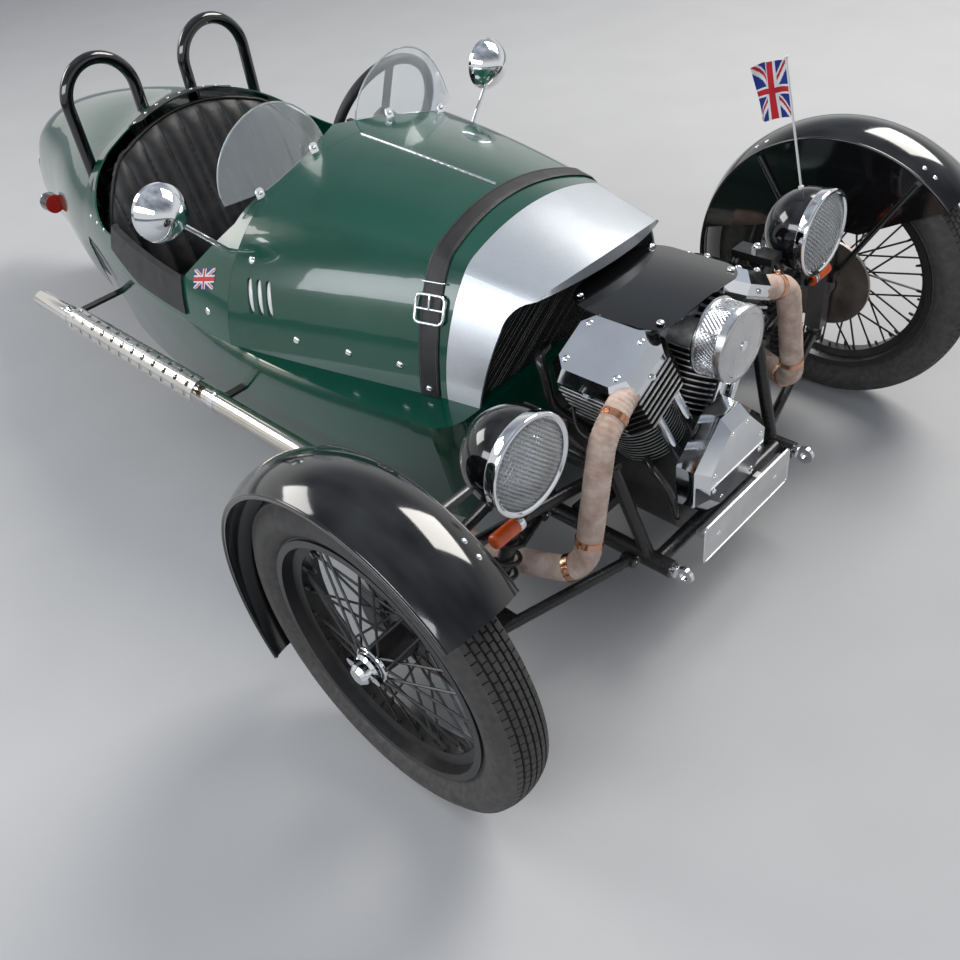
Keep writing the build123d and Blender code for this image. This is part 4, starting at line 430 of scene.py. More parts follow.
def raise_surface(material, shader, height, distance, strength=1.0):
    bump = material.node_tree.nodes.new("ShaderNodeBump")
    bump.inputs["Distance"].default_value = distance
    bump.inputs["Strength"].default_value = strength
    join_sockets(material, height, bump.inputs["Height"])
    join_sockets(material, bump.outputs["Normal"], shader.inputs["Normal"])


def gloss_paint(name, dark, light, clean, marked, flake_scale=0.0, **sockets):
    material, shader = new_finish(name, **sockets)
    tint(material, shader, dark, light, flake_scale or 2.2)
    smudge(material, shader, clean, marked, 7.0)
    peel = place_effect(material, "fine grain", Scale=210.0)
    raise_surface(material, shader, peel.outputs["Height"], 0.0004, 0.10)
    return material


def dusty_paint(name, colour, roughness_low, roughness_high, dust_top, dust_amount, grain, **sockets):
    material, shader = new_finish(name, **sockets)
    dust = place_effect(material, "road dust", Color=colour, Top=dust_top, Amount=dust_amount)
    join_sockets(material, dust.outputs["Color"], shader.inputs["Base Color"])
    smudge(material, shader, roughness_low, roughness_high, 14.0)
    texture = place_effect(material, "fine grain", Scale=grain)
    raise_surface(material, shader, texture.outputs["Height"], 0.0008, 0.25)
    return material


def bright_metal(name, dark, light, clean, marked, tint_scale=6.0, **sockets):
    material, shader = new_finish(name, Metallic=1.0, **sockets)
    tint(material, shader, dark, light, tint_scale)
    smudge(material, shader, clean, marked, 24.0)
    return material


def drawn_metal(name, dark, light, low, high, stretch, **sockets):
    material, shader = new_finish(name, Metallic=1.0, **sockets)
    tint(material, shader, dark, light, 12.0)
    lines = place_effect(material, "brushed lines", Stretch=stretch, Low=low, High=high)
    join_sockets(material, lines.outputs["Roughness"], shader.inputs["Roughness"])
    raise_surface(material, shader, lines.outputs["Height"], 0.0003, 0.12)
    return material


def hide(name, dark, light, scale, clean, marked):
    material, shader = new_finish(name, Specular_IOR_Level=0.45)
    tint(material, shader, dark, light, 30.0)
    smudge(material, shader, clean, marked, 18.0)
    grain = place_effect(material, "hide grain", Scale=scale)
    raise_surface(material, shader, grain.outputs["Height"], 0.0006, 0.35)
    return material


for build in (
    build_cloudy_colour, build_smudged_gloss, build_fine_grain, build_brushed_lines,
    build_hide_grain, build_road_dust, build_cross_weave, build_pressed_diamonds, build_fin_edges,
):
    build()

green_paint = gloss_paint(
    "racing green paint", (0.0006, 0.050, 0.029, 1), (0.0012, 0.066, 0.040, 1), 0.20, 0.28,
    Specular_IOR_Level=0.35, Coat_Weight=0.75, Coat_Roughness=0.03,
)
silver_paint = gloss_paint(
    "silver flake paint", (0.44, 0.47, 0.50, 1), (0.62, 0.65, 0.69, 1), 0.34, 0.42, flake_scale=900.0,
    Metallic=0.7, Coat_Weight=0.6, Coat_Roughness=0.08,
)
black_gloss = gloss_paint(
    "black gloss paint", (0.003, 0.003, 0.0034, 1), (0.006, 0.006, 0.007, 1), 0.10, 0.20,
    Specular_IOR_Level=0.4, Coat_Weight=0.7, Coat_Roughness=0.05,
)
frame_black = dusty_paint("frame black", (0.008, 0.008, 0.009, 1), 0.26, 0.40, 0.5, 0.12, 500.0)
wheel_black = dusty_paint("wheel black", (0.007, 0.007, 0.008, 1), 0.28, 0.40, 0.6, 0.08, 420.0)
case_black = dusty_paint("crackle black", (0.014, 0.014, 0.015, 1), 0.46, 0.62, 0.6, 0.15, 260.0)
grille_black = dusty_paint("grille black", (0.008, 0.008, 0.008, 1), 0.40, 0.55, 0.9, 0.10, 300.0)
chrome = bright_metal("chrome", (0.74, 0.76, 0.79, 1), (0.84, 0.86, 0.88, 1), 0.03, 0.12)
cover_chrome = bright_metal("cover chrome", (0.70, 0.72, 0.75, 1), (0.82, 0.84, 0.87, 1), 0.05, 0.16)
pipe_chrome = bright_metal("pipe chrome", (0.66, 0.60, 0.50, 1), (0.82, 0.80, 0.76, 1), 0.06, 0.20, 3.0)
shield_steel = drawn_metal(
    "shield steel", (0.60, 0.59, 0.57, 1), (0.76, 0.75, 0.73, 1), 0.12, 0.30, (9, 900, 900)
)
disc_steel = drawn_metal(
    "disc steel", (0.22, 0.18, 0.16, 1), (0.42, 0.38, 0.35, 1), 0.30, 0.50, (220, 40, 220)
)
knuckle_steel = dusty_paint(
    "knuckle steel", (0.20, 0.20, 0.21, 1), 0.35, 0.55, 0.9, 0.4, 260.0, Metallic=0.8
)
seat_hide = hide("seat hide", (0.010, 0.010, 0.011, 1), (0.022, 0.022, 0.024, 1), 330.0, 0.36, 0.52)
strap_hide = hide("strap hide", (0.008, 0.008, 0.008, 1), (0.018, 0.017, 0.017, 1), 520.0, 0.40, 0.56)
trim_hide = hide("trim hide", (0.009, 0.009, 0.010, 1), (0.020, 0.020, 0.021, 1), 380.0, 0.42, 0.58)
tyre_rubber = dusty_paint(
    "tyre rubber", (0.024, 0.024, 0.025, 1), 0.58, 0.74, 1.1, 0.26, 380.0, Specular_IOR_Level=0.4
)


def wrap_tape():
    material, shader = new_finish("header wrap tape", Specular_IOR_Level=0.2)
    tint(material, shader, (0.50, 0.35, 0.28, 1), (0.74, 0.60, 0.52, 1), 34.0)
    smudge(material, shader, 0.80, 0.92, 20.0)
    weave = place_effect(material, "cross weave", Scale=1400.0)
    raise_surface(material, shader, weave.outputs["Height"], 0.0009, 0.6)
    return material


def clear_glass(name, roughness, see_through):
    return new_finish(
        name, Transmission_Weight=see_through, IOR=1.47, Roughness=roughness, Specular_IOR_Level=0.5
    )


def clear_screen(name, dark, roughness, see_through):
    material, shader = clear_glass(name, roughness, see_through)
    tint(material, shader, dark, (0.97, 0.985, 0.99, 1), 3.0)
    return material


def coloured_lens(name, dark, light):
    material, shader = new_finish(name, Coat_Weight=0.5, Coat_Roughness=0.05, Transmission_Weight=0.08)
    tint(material, shader, dark, light, 40.0)
    ribs = place_effect(material, "brushed lines", Stretch=(500, 500, 500), Low=0.15, High=0.3)
    join_sockets(material, ribs.outputs["Roughness"], shader.inputs["Roughness"])
    raise_surface(material, shader, ribs.outputs["Height"], 0.0008, 0.3)
    return material


header_wrap = wrap_tape()
screen_clear = clear_screen("screen clear", (0.80, 0.87, 0.91, 1), 0.02, 0.86)
lens_clear = clear_screen("lamp lens clear", (0.95, 0.97, 0.98, 1), 0.03, 1.0)
amber_lens = coloured_lens("amber lens", (0.90, 0.10, 0.010, 1), (1.0, 0.16, 0.02, 1))
red_lens = coloured_lens("red lens", (0.45, 0.01, 0.008, 1), (0.62, 0.02, 0.015, 1))
dash_black = dusty_paint("dash black", (0.012, 0.012, 0.013, 1), 0.25, 0.4, 3.0, 0.0, 500.0)
plate_alloy = drawn_metal(
    "plate alloy", (0.62, 0.62, 0.63, 1), (0.74, 0.74, 0.75, 1), 0.30, 0.45, (30, 500, 500)
)
flag_cloth = dusty_paint("flag cloth", (0.55, 0.56, 0.60, 1), 0.8, 0.95, 5.0, 0.0, 900.0)


def finned_metal():
    """Dark painted fins whose cut edges were machined bright."""
    material, shader = new_finish("finned cylinder", Metallic=0.6)
    dust = place_effect(material, "road dust", Color=(0.018, 0.018, 0.019, 1), Top=0.9, Amount=0.25)
    bright = place_effect(
        material, "cloudy colour", Dark=(0.42, 0.42, 0.42, 1), Light=(0.68, 0.68, 0.67, 1), Scale=60.0
    )
    edges = place_effect(material, "fin edges")
    metal = blend_colours(
        material.node_tree, edges.outputs["Mask"], dust.outputs["Color"], bright.outputs["Color"]
    )
    join_sockets(material, metal, shader.inputs["Base Color"])
    smudge(material, shader, 0.34, 0.5, 30.0)
    grain = place_effect(material, "fine grain", Scale=420.0)
    raise_surface(material, shader, grain.outputs["Height"], 0.0006, 0.25)
    return material


def plain_cloth(name, dark, light, weave=1500.0):
    material, shader = new_finish(name, Specular_IOR_Level=0.25)
    tint(material, shader, dark, light, 30.0)
    smudge(material, shader, 0.75, 0.9, 30.0)
    threads = place_effect(material, "cross weave", Scale=weave)
    raise_surface(material, shader, threads.outputs["Height"], 0.0004, 0.4)
    return material


def pressed_glass():
    material, shader = clear_glass("pressed lamp glass", 0.04, 0.80)
    ridges = place_effect(material, "pressed diamonds", Scale=300.0)
    painted_groove_shade = place_effect(
        material, "cloudy colour", Dark=(0.55, 0.58, 0.60, 1), Light=(0.62, 0.65, 0.67, 1), Scale=3.0
    )
    # The low places between the pressed ridges take the grey tone and the rest stays near white, clear
    # glass: painted shade in the grooves.
    glass = blend_colours(
        material.node_tree, ridges.outputs["Height"], painted_groove_shade.outputs["Color"], (0.97, 0.985, 0.99, 1)
    )
    join_sockets(material, glass, shader.inputs["Base Color"])
    raise_surface(material, shader, ridges.outputs["Height"], 0.0045, 0.9)
    return material


lens_fluted = pressed_glass()
cylinder_metal = finned_metal()
band_copper = bright_metal("clamp copper", (0.52, 0.25, 0.15, 1), (0.74, 0.42, 0.28, 1), 0.22, 0.38)
bulb_frost = gloss_paint(
    "lamp bowl silver", (0.62, 0.63, 0.64, 1), (0.74, 0.75, 0.76, 1), 0.10, 0.2, Metallic=0.9
)
damper_black = dusty_paint("damper black", (0.014, 0.014, 0.015, 1), 0.25, 0.4, 0.6, 0.2, 420.0)
spring_black = dusty_paint("spring black", (0.016, 0.016, 0.017, 1), 0.32, 0.45, 0.6, 0.2, 420.0)
thread_grey = plain_cloth("seat thread", (0.10, 0.10, 0.10, 1), (0.16, 0.16, 0.16, 1))
# The louvre vanes' white is a painted reflection of the sky; the louvres themselves are green.
louvre_painted_sky_reflection = gloss_paint(
    "louvre white painted reflection", (0.62, 0.63, 0.62, 1), (0.72, 0.73, 0.72, 1), 0.2, 0.3, Coat_Weight=0.5
)
staff_white = gloss_paint("staff white", (0.55, 0.55, 0.53, 1), (0.66, 0.66, 0.64, 1), 0.3, 0.4)
flag_blue = plain_cloth("flag blue", (0.010, 0.022, 0.16, 1), (0.016, 0.034, 0.22, 1))
flag_white = plain_cloth("flag white", (0.58, 0.58, 0.60, 1), (0.68, 0.68, 0.70, 1))
flag_red = plain_cloth("flag red", (0.38, 0.012, 0.020, 1), (0.48, 0.018, 0.028, 1))
print_blue = gloss_paint(
    "print blue", (0.010, 0.020, 0.14, 1), (0.014, 0.030, 0.18, 1), 0.2, 0.3, Coat_Weight=0.5
)
print_white = gloss_paint(
    "print white", (0.60, 0.60, 0.61, 1), (0.68, 0.68, 0.69, 1), 0.2, 0.3, Coat_Weight=0.5
)
print_red = gloss_paint(
    "print red", (0.40, 0.012, 0.018, 1), (0.48, 0.018, 0.025, 1), 0.2, 0.3, Coat_Weight=0.5
)
grille_wire = dusty_paint("grille wire", (0.030, 0.030, 0.031, 1), 0.30, 0.45, 0.9, 0.1, 400.0, Metallic=0.5)
cleaner_front = drawn_metal(
    "cleaner front", (0.50, 0.50, 0.51, 1), (0.66, 0.66, 0.67, 1), 0.16, 0.34, (9, 420, 30)
)
rubber_black = dusty_paint("moulded rubber", (0.012, 0.012, 0.012, 1), 0.45, 0.6, 0.8, 0.2, 380.0)
pipe_blued = dusty_paint("hose black", (0.010, 0.010, 0.011, 1), 0.22, 0.36, 0.8, 0.1, 380.0)
dial_cream = gloss_paint(
    "dial cream", (0.60, 0.56, 0.45, 1), (0.68, 0.64, 0.53, 1), 0.15, 0.25, Coat_Weight=0.8
)
# The screen edge's pale colour is a painted highlight: the clear edge catching the light.
screen_edge_painted_glint = gloss_paint(
    "screen edge painted glint", (0.58, 0.64, 0.65, 1), (0.72, 0.78, 0.79, 1), 0.08, 0.15, Transmission_Weight=0.4,
    Coat_Weight=0.6
)
mirror_silver = bright_metal("mirror silver", (0.80, 0.82, 0.83, 1), (0.86, 0.87, 0.88, 1), 0.01, 0.04)
carpet_black = plain_cloth("floor carpet", (0.012, 0.012, 0.013, 1), (0.030, 0.030, 0.031, 1), 900.0)

NODE_FINISH = {
    "hull": green_paint, "bonnet": green_paint, "cockpit_body": green_paint, "tail": green_paint,
    "nose_cowl": silver_paint, "grille": grille_black, "cockpit_rim": trim_hide, "side_trims": trim_hide,
    "roll_hoops": black_gloss, "seat_base": seat_hide, "seat_back": seat_hide, "dashboard": dash_black,
    "aeroscreens": screen_clear, "mirrors": chrome, "front_frame": frame_black, "lashing_eyes": chrome,
    "wishbones": frame_black, "spring_dampers": frame_black, "engine_case": case_black,
    "cylinders": cylinder_metal, "engine_covers": cover_chrome, "air_cleaner": cover_chrome,
    "intake_shroud": black_gloss, "exhaust_headers": header_wrap, "side_pipes": pipe_chrome,
    "heat_shields": shield_steel, "headlamps": black_gloss, "lamp_bezels": chrome,
    "headlamp_lenses": lens_clear, "indicators": amber_lens, "bonnet_strap": strap_hide,
    "rear_suspension": frame_black, "rear_lamps": red_lens, "number_plate": plate_alloy,
    "flag": flag_cloth, "knuckle_left": knuckle_steel, "knuckle_right": knuckle_steel,
    "wing_left": black_gloss, "wing_right": black_gloss, "front_tyre_left": tyre_rubber,
    "front_tyre_right": tyre_rubber, "wire_wheel_left": wheel_black, "wire_wheel_right": wheel_black,
    "spinner_left": chrome, "spinner_right": chrome, "brake_disc_left": disc_steel,
    "brake_disc_right": disc_steel, "rear_tyre": tyre_rubber, "rear_rim": wheel_black,
    "steering_rack": knuckle_steel, "steering_wheel": trim_hide,
}


def dress_cad_nodes():
    for name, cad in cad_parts.items():
        cad.data.materials.clear()
        cad.data.materials.append(NODE_FINISH[name])


def side_name(side):
    return "left" if side > 0 else "right"


def new_piece(name, shape, material, body="chassis", crease=35.0):
    """One object from (points, faces), welded, smooth up to the crease angle, riding on a body."""
    points, faces = shape
    mesh = bpy.data.meshes.new(name)
    mesh.from_pydata([tuple(point) for point in points], [], faces)
    shell = bmesh.new()
    shell.from_mesh(mesh)
    bmesh.ops.remove_doubles(shell, verts=shell.verts, dist=1e-6)
    bmesh.ops.dissolve_degenerate(shell, edges=shell.edges, dist=1e-7)
    bmesh.ops.recalc_face_normals(shell, faces=shell.faces)
    shell.to_mesh(mesh)
    shell.free()
    mesh.shade_smooth()
    mesh.set_sharp_from_angle(angle=math.radians(crease))
    mesh.materials.append(material)
    piece = bpy.data.objects.new(name, mesh)
    scene.collection.objects.link(piece)
    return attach(piece, body)


def gather(*shapes):
    points, faces = [], []
    for more, patches in shapes:
        start = len(points)
        points += list(more)
        faces += [tuple(start + corner for corner in patch) for patch in patches]
    return points, faces


def across(axis):
    along = Vector(axis).normalized()
    side = along.orthogonal().normalized()
    return along, side, along.cross(side)


def turned(centre, axis, profile, steps, closed=True):
    """A profile of (radius, distance) pairs spun round an axis."""
    along, side, up = across(axis)
    rows = len(profile)
    points, faces = [], []
    for step in range(steps):
        turn = math.tau * step / steps
        out = side * math.cos(turn) + up * math.sin(turn)
        points += [Vector(centre) + along * distance + out * radius for radius, distance in profile]
    for step in range(steps):
        after = (step + 1) % steps
        for row in range(rows if closed else rows - 1):
            below = (row + 1) % rows
            faces.append((step * rows + row, step * rows + below, after * rows + below, after * rows + row))
    return points, faces


def tube(path, radius, steps=12, looped=False, capped=True):
    """A round tube along points; radius is a number or a function of (step along, turn)."""
    path = [Vector(point) for point in path]
    count = len(path)
    width = radius if callable(radius) else (lambda index, turn: radius)
    points, faces = [], []
    side = None
    for index, point in enumerate(path):
        before = path[index - 1] if index or looped else path[0]
        after = path[(index + 1) % count] if index < count - 1 or looped else path[-1]
        along = (after - before).normalized()
        side = (side or along.orthogonal()) - along * (side or along.orthogonal()).dot(along)
        side.normalize()
        up = along.cross(side)
        for step in range(steps):
            turn = math.tau * step / steps
            points.append(point + (side * math.cos(turn) + up * math.sin(turn)) * width(index, turn))
    for index in range(count if looped else count - 1):
        after = (index + 1) % count
        for step in range(steps):
            beside = (step + 1) % steps
            faces.append(
                (index * steps + step, index * steps + beside, after * steps + beside, after * steps + step)
            )
    if capped and not looped:
        faces.append(tuple(range(steps))[::-1])
        faces.append(tuple((count - 1) * steps + step for step in range(steps)))
    return points, faces


def rounded_path(corners, bend, spacing=0.006):
    """Straight runs joined by arcs of one radius, sampled evenly."""
    corners = [Vector(corner) for corner in corners]
    out = [corners[0]]
    for before, corner, after in zip(corners[:-2], corners[1:-1], corners[2:]):
        back, ahead = (before - corner).normalized(), (after - corner).normalized()
        half = back.angle(ahead) / 2
        reach = bend / math.tan(half)
        start, end = corner + back * reach, corner + ahead * reach
        middle = corner + (back + ahead).normalized() * (bend / math.sin(half))
        sweep = math.pi - 2 * half
        steps = max(3, int(sweep * bend / spacing))
        first, last = start - middle, end - middle
        for step in range(steps + 1):
            share = step / steps
            if sweep > 1e-4:
                arc = first.normalized().slerp(last.normalized(), share) * bend
            else:
                arc = first.lerp(last, share)
            out.append(middle + arc)
    out.append(corners[-1])
    even = [out[0]]
    for point in out[1:]:
        run = point - even[-1]
        steps = max(1, int(run.length / spacing))
        for step in range(steps):
            even.append(even[-1] + run * (1 / steps))
    return even


def plate(outline, origin, right, up, thickness, edge=0.0):
    """A flat plate: an outline of (right, up) pairs, thickened along right x up, with a small edge round."""
    right, up = Vector(right).normalized(), Vector(up).normalized()
    out = right.cross(up)
    centre_u = sum(u for u, _ in outline) / len(outline)
    centre_v = sum(v for _, v in outline) / len(outline)
    layers = [(0.0, 0.0), (thickness, 0.0)]
    if edge:
        layers = [(0.0, edge), (edge, 0.0), (thickness - edge, 0.0), (thickness, edge)]
    points, faces = [], []
    for depth, inset in layers:
        for u, v in outline:
            reach = math.hypot(u - centre_u, v - centre_v)
            keep = (reach - inset) / reach
            in_u, in_v = centre_u + (u - centre_u) * keep, centre_v + (v - centre_v) * keep
            points.append(Vector(origin) + right * in_u + up * in_v + out * depth)
    count = len(outline)
    for layer in range(len(layers) - 1):
        low, high = layer * count, (layer + 1) * count
        for index in range(count):
            after = (index + 1) % count
            faces.append((low + index, low + after, high + after, high + index))
    faces.append(tuple(range(count))[::-1])
    faces.append(tuple((len(layers) - 1) * count + index for index in range(count)))
    return points, faces


def rounded_rectangle(width, height, radius, steps=5):
    out = []
    for corner_x, corner_y, start in ((1, 1, 0), (-1, 1, 90), (-1, -1, 180), (1, -1, 270)):
        for step in range(steps + 1):
            turn = math.radians(start + 90 * step / steps)
            out.append((
                corner_x * (width / 2 - radius) + radius * math.cos(turn),
                corner_y * (height / 2 - radius) + radius * math.sin(turn),
            ))
    return out


def hex_bolt(place, axis, radius=0.006, height=0.005):
    """A washer under a six-sided head with a chamfered top."""
    washer = turned(place, axis, [(0, 0), (radius * 1.5, 0), (radius * 1.5, 0.0012), (0, 0.0012)], 20)
    head = turned(
        place, axis,
        [
            (0, 0.0012), (radius * 1.1, 0.0012), (radius * 1.1, height), (radius * 0.85, height + 0.0012),
            (0, height + 0.0012),
        ],
        6,
    )
    return gather(washer, head)


def domed_screw(place, axis, radius=0.006, height=0.003):
    rise = [
        (radius * math.cos(math.radians(turn)), height * math.sin(math.radians(turn)))
        for turn in (0, 25, 50, 75, 90)
    ]
    return turned(place, axis, [(0, -0.001), (radius, -0.001)] + rise, 20)


def acorn_nut(place, axis, radius=0.009):
    base = turned(
        place, axis, [(0, 0), (radius * 1.12, 0), (radius * 1.12, radius * 0.9), (0, radius * 0.9)], 6
    )
    dome = [
        (radius * 0.92 * math.cos(math.radians(turn)), radius * (0.9 + 0.85 * math.sin(math.radians(turn))))
        for turn in range(0, 91, 15)
    ]
    return gather(base, turned(place, axis, [(0, radius * 0.9)] + dome, 20))


def skin_finder(*nodes):
    """Finds where a ray first meets CAD nodes, for pieces that lie on them."""
    tables = []
    for name in nodes:
        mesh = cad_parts[name].data
        tables.append(
            BVHTree.FromPolygons([v.co for v in mesh.vertices], [tuple(p.vertices) for p in mesh.polygons])
        )

    def find(start, direction):
        hits = [table.ray_cast(Vector(start), Vector(direction).normalized()) for table in tables]
        hits = [hit for hit in hits if hit[0] is not None]
        if not hits:
            return None, None
        place, normal, _, _ = min(hits, key=lambda hit: hit[3])
        if normal.dot(Vector(direction)) > 0:
            normal = -normal
        return place, normal

    return find


# Tyres.
def tyre_piece(name, body, centre, radius, half_width, bead_radius, bead_half, rib_count, pitch_count):
    """Side walls with moulded rings, and a block tread cut by grooves along and across."""
    groove = 0.0055
    crown = 0.72 * half_width
    shoulder_radius = radius - 0.16 * half_width
    wall_low = bead_radius + 0.012
    wall = []
    for step in range(19):
        share = step / 18
        height = wall_low + (shoulder_radius - wall_low) * share
        limit = bead_half + (half_width - bead_half) * (1 - ((share - 0.5) / 0.5) ** 2)
        edge = bead_half + (crown - bead_half) * share
        bulge = max(limit, edge)
        ring_mark = 0.0006 if step in (4, 5, 13, 15) else 0.0
        wall.append((height, min(bulge, half_width) - ring_mark))
    shapes = []
    for side in (-1, 1):
        profile = [
            (bead_radius, side * (bead_half - 0.008)), (bead_radius, side * bead_half),
            (wall_low, side * bead_half),
        ]
        profile += [(height, side * width) for height, width in wall]
        shapes.append(turned(centre, (0, 1, 0), profile, 150, closed=False))
    bead = [(bead_radius, -bead_half), (bead_radius, bead_half)]
    shapes.append(turned(centre, (0, 1, 0), bead, 150, closed=False))
    # Places across the tread: (y, rib number).
    edges = []
    rib_width = 2 * crown / rib_count
    for rib in range(rib_count):
        low = -crown + rib * rib_width
        gap = 0.0016 if rib else 0.0
        end = 0.0016 if rib < rib_count - 1 else 0.0
        edges += [(low + gap, rib), (low + gap + 0.0006, rib), (low + 0.5 * rib_width, rib)]
        edges += [(low + rib_width - end - 0.0006, rib), (low + rib_width - end, rib)]
    stops = (0.0, 0.09, 0.12, 0.46, 0.5, 0.59, 0.62, 0.96)
    points, faces = [], []
    count = pitch_count * len(stops)
    for turn_index in range(count):
        pitch, stop = divmod(turn_index, len(stops))
        turn = math.tau * (pitch + stops[stop]) / pitch_count
        for column, (y, rib) in enumerate(edges):
            skin = radius - (radius - shoulder_radius) * (abs(y) / crown) ** 2.2
            outer = rib in (0, rib_count - 1)
            cut_across = stop in ((0, 1) if rib % 2 == 0 else (4, 5))
            place_in_rib = column % 5
            cut_along = (place_in_rib == 0 and rib > 0) or (place_in_rib == 4 and rib < rib_count - 1)
            depth = groove if (cut_across or cut_along) else 0.0
            if outer and cut_across:
                depth = groove * 0.8
            if column in (0, len(edges) - 1):
                depth = 0.0 if not cut_across else groove * 0.5
            points.append((
                centre[0] + (skin - depth) * math.cos(turn), centre[1] + y,
                centre[2] + (skin - depth) * math.sin(turn)
            ))
    columns = len(edges)
    for turn_index in range(count):
        after = (turn_index + 1) % count
        for column in range(columns - 1):
            faces.append((
                turn_index * columns + column, after * columns + column,
                after * columns + column + 1, turn_index * columns + column + 1,
            ))
    shapes.append((points, faces))
    return new_piece(name, gather(*shapes), tyre_rubber, body, crease=28.0)


# Wrapped headers.
def header_piece(side):
    """Heat tape wound round the header pipe in overlapping turns, with steel bands over its ends."""
    route = (
        (1.362, side * 0.2175, 0.5975), (1.380, side * 0.322, 0.5555), (1.380, side * 0.392, 0.266),
        (1.190, side * 0.470, 0.266), (1.020, side * 0.490, 0.306), (0.946, side * 0.501, 0.336),
        (0.880, side * 0.512, 0.336),
    )
    path = rounded_path(route, 0.062, 0.0024)
    tape_pitch = 0.0095
    lengths = [0.0]
    for before, after in zip(path[:-1], path[1:]):
        lengths.append(lengths[-1] + (after - before).length)

    def tape(index, turn):
        wound = (lengths[index] / tape_pitch + turn / math.tau) % 1.0
        if wound < 0.8:
            skin = 0.0256 + 0.0014 * (wound / 0.8) ** 0.6
        else:
            skin = 0.0270 - 0.0014 * (wound - 0.8) / 0.2
        return skin - 0.0002 * (1 + math.sin(5.0 * turn + lengths[index] * 90.0))

    name = side_name(side)
    wrap = new_piece(f"header_wrap_{name}", tube(path, tape, 40), header_wrap, crease=60.0)
    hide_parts("exhaust_headers")
    bands = []
    for at in (0.070, 0.330, 0.415):
        index = min(range(len(lengths)), key=lambda k: abs(lengths[k] - at))
        along = path[index + 1] - path[index - 1]
        bands.append(
            turned(
                path[index], along,
                [(0.0268, -0.007), (0.0284, -0.007), (0.0288, 0), (0.0284, 0.007), (0.0268, 0.007)], 40,
            )
        )
        out = Vector((0, side, 0.4)).cross(along).cross(along).normalized() * -1
        bands.append(hex_bolt(path[index] + out * 0.028, out, 0.0045, 0.006))
    new_piece(f"header_bands_{name}", gather(*bands), band_copper)


def side_pipe_piece(side):
    """Polished side pipe with a rolled open tip, its two band clamps and their short stays to the hull."""
    name = side_name(side)
    route = (
        (0.8838, side * 0.512, PIPE_Z), (0.818, side * 0.523, PIPE_Z), (0.694, side * PIPE_Y, PIPE_Z),
        (PIPE_END_X, side * PIPE_Y, PIPE_Z),
    )
    shapes = [tube(rounded_path(route, 0.20, 0.006), 0.025, 48)]
    tip = [
        (0.0226, 0.0), (0.0250, 0.0), (0.0250, 0.1585), (0.0246, 0.1597), (0.0238, 0.1600), (0.0229, 0.1592)
    ]
    shapes.append(turned((PIPE_END_X, side * PIPE_Y, PIPE_Z), (-1, 0, 0), tip, 48))
    # A dark cup lines the rolled tip: soot on its walls, and on its closed end painted shade where the pipe
    # runs on into the dark.
    liner = [(0, 0.002), (0.0222, 0.002), (0.0222, 0.150), (0.0216, 0.150), (0.0216, 0.004), (0, 0.004)]
    new_piece(
        f"pipe_soot_and_shade_{name}", turned((PIPE_END_X, side * PIPE_Y, PIPE_Z), (-1, 0, 0), liner, 40), rubber_black
    )
    pipe = new_piece(f"side_pipe_{name}", gather(*shapes), pipe_chrome, crease=50.0)
    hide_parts("side_pipes")
    clamps, stays = [], []
    for x in (0.340, -0.416):
        band = [(0.0248, -0.012), (0.0264, -0.012), (0.0268, 0.0), (0.0264, 0.012), (0.0248, 0.012)]
        clamps.append(turned((x, side * PIPE_Y, PIPE_Z), (1, 0, 0), band, 48))
        inner = 0.440 if x > 0 else 0.345
        stay = [(x - 0.012, inner), (x + 0.012, inner), (x + 0.012, 0.508), (x - 0.012, 0.508)]
        stays.append(
            plate([(u, side * v) for u, v in stay], (0, 0, 0.332), (1, 0, 0), (0, 1, 0), 0.008, 0.0006)
        )
        clamps.append(hex_bolt((x, side * PIPE_Y, PIPE_Z + 0.0262), (0, 0, 1), 0.005, 0.006))
    new_piece(f"pipe_clamps_{name}", gather(*clamps), chrome)
    new_piece(f"pipe_stays_{name}", gather(*stays), frame_black)


# Headlamps.
LAMP = Vector((1.342, 0.495, 0.600))


def lamp_pieces(side):
    name = side_name(side)
    centre = Vector((LAMP.x, side * LAMP.y, LAMP.z))
    rim = [
        (0.0862, 0.0006), (0.0945, 0.0006), (0.0958, 0.003), (0.0962, 0.012), (0.0978, 0.018),
        (0.0978, 0.0215),
    ]
    rim += [(0.0965, 0.0245), (0.0935, 0.0258), (0.0900, 0.0250), (0.0880, 0.0225), (0.0862, 0.0220)]
    bezel = new_piece(f"lamp_bezel_{name}", turned(centre, (1, 0, 0), rim, 96), chrome, crease=50.0)
    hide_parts("lamp_bezels")
    dish = [
        (0.014 + 0.070 * share, -0.021 + 0.030 * share ** 2) for share in [step / 12 for step in range(13)]
    ]
    dish += [(0.0845, 0.0095), (0.0835, 0.0065)] + [
        (0.0125 + 0.068 * share, -0.0228 + 0.028 * share ** 2) for share in [1.0, 0.6, 0.2, 0.0]
    ]
    new_piece(f"lamp_reflector_{name}", turned(centre, (1, 0, 0), dish, 72), chrome, crease=60.0)
    bulb = [
        (0, -0.0235), (0.0135, -0.0235), (0.0135, -0.019), (0.006, -0.017), (0.006, -0.006),
        (0.004, -0.002), (0, 0.0),
    ]
    new_piece(f"lamp_bulb_{name}", turned(centre, (1, 0, 0), bulb, 32), bulb_frost)
    dome_radius = (0.0855 ** 2 + 0.022 ** 2) / (2 * 0.022)
    outer, inner = [], []
    for step in range(25):
        r = 0.0855 * step / 24
        lift = 0.020 + 0.022 - (dome_radius - math.sqrt(dome_radius ** 2 - r * r))
        outer.append((r, lift))
        inner.append((r, lift - 0.003))
    lens = new_piece(
        f"lamp_lens_{name}", turned(centre, (1, 0, 0), inner + outer[::-1], 96), lens_fluted, crease=60.0
    )
    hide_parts("headlamp_lenses")


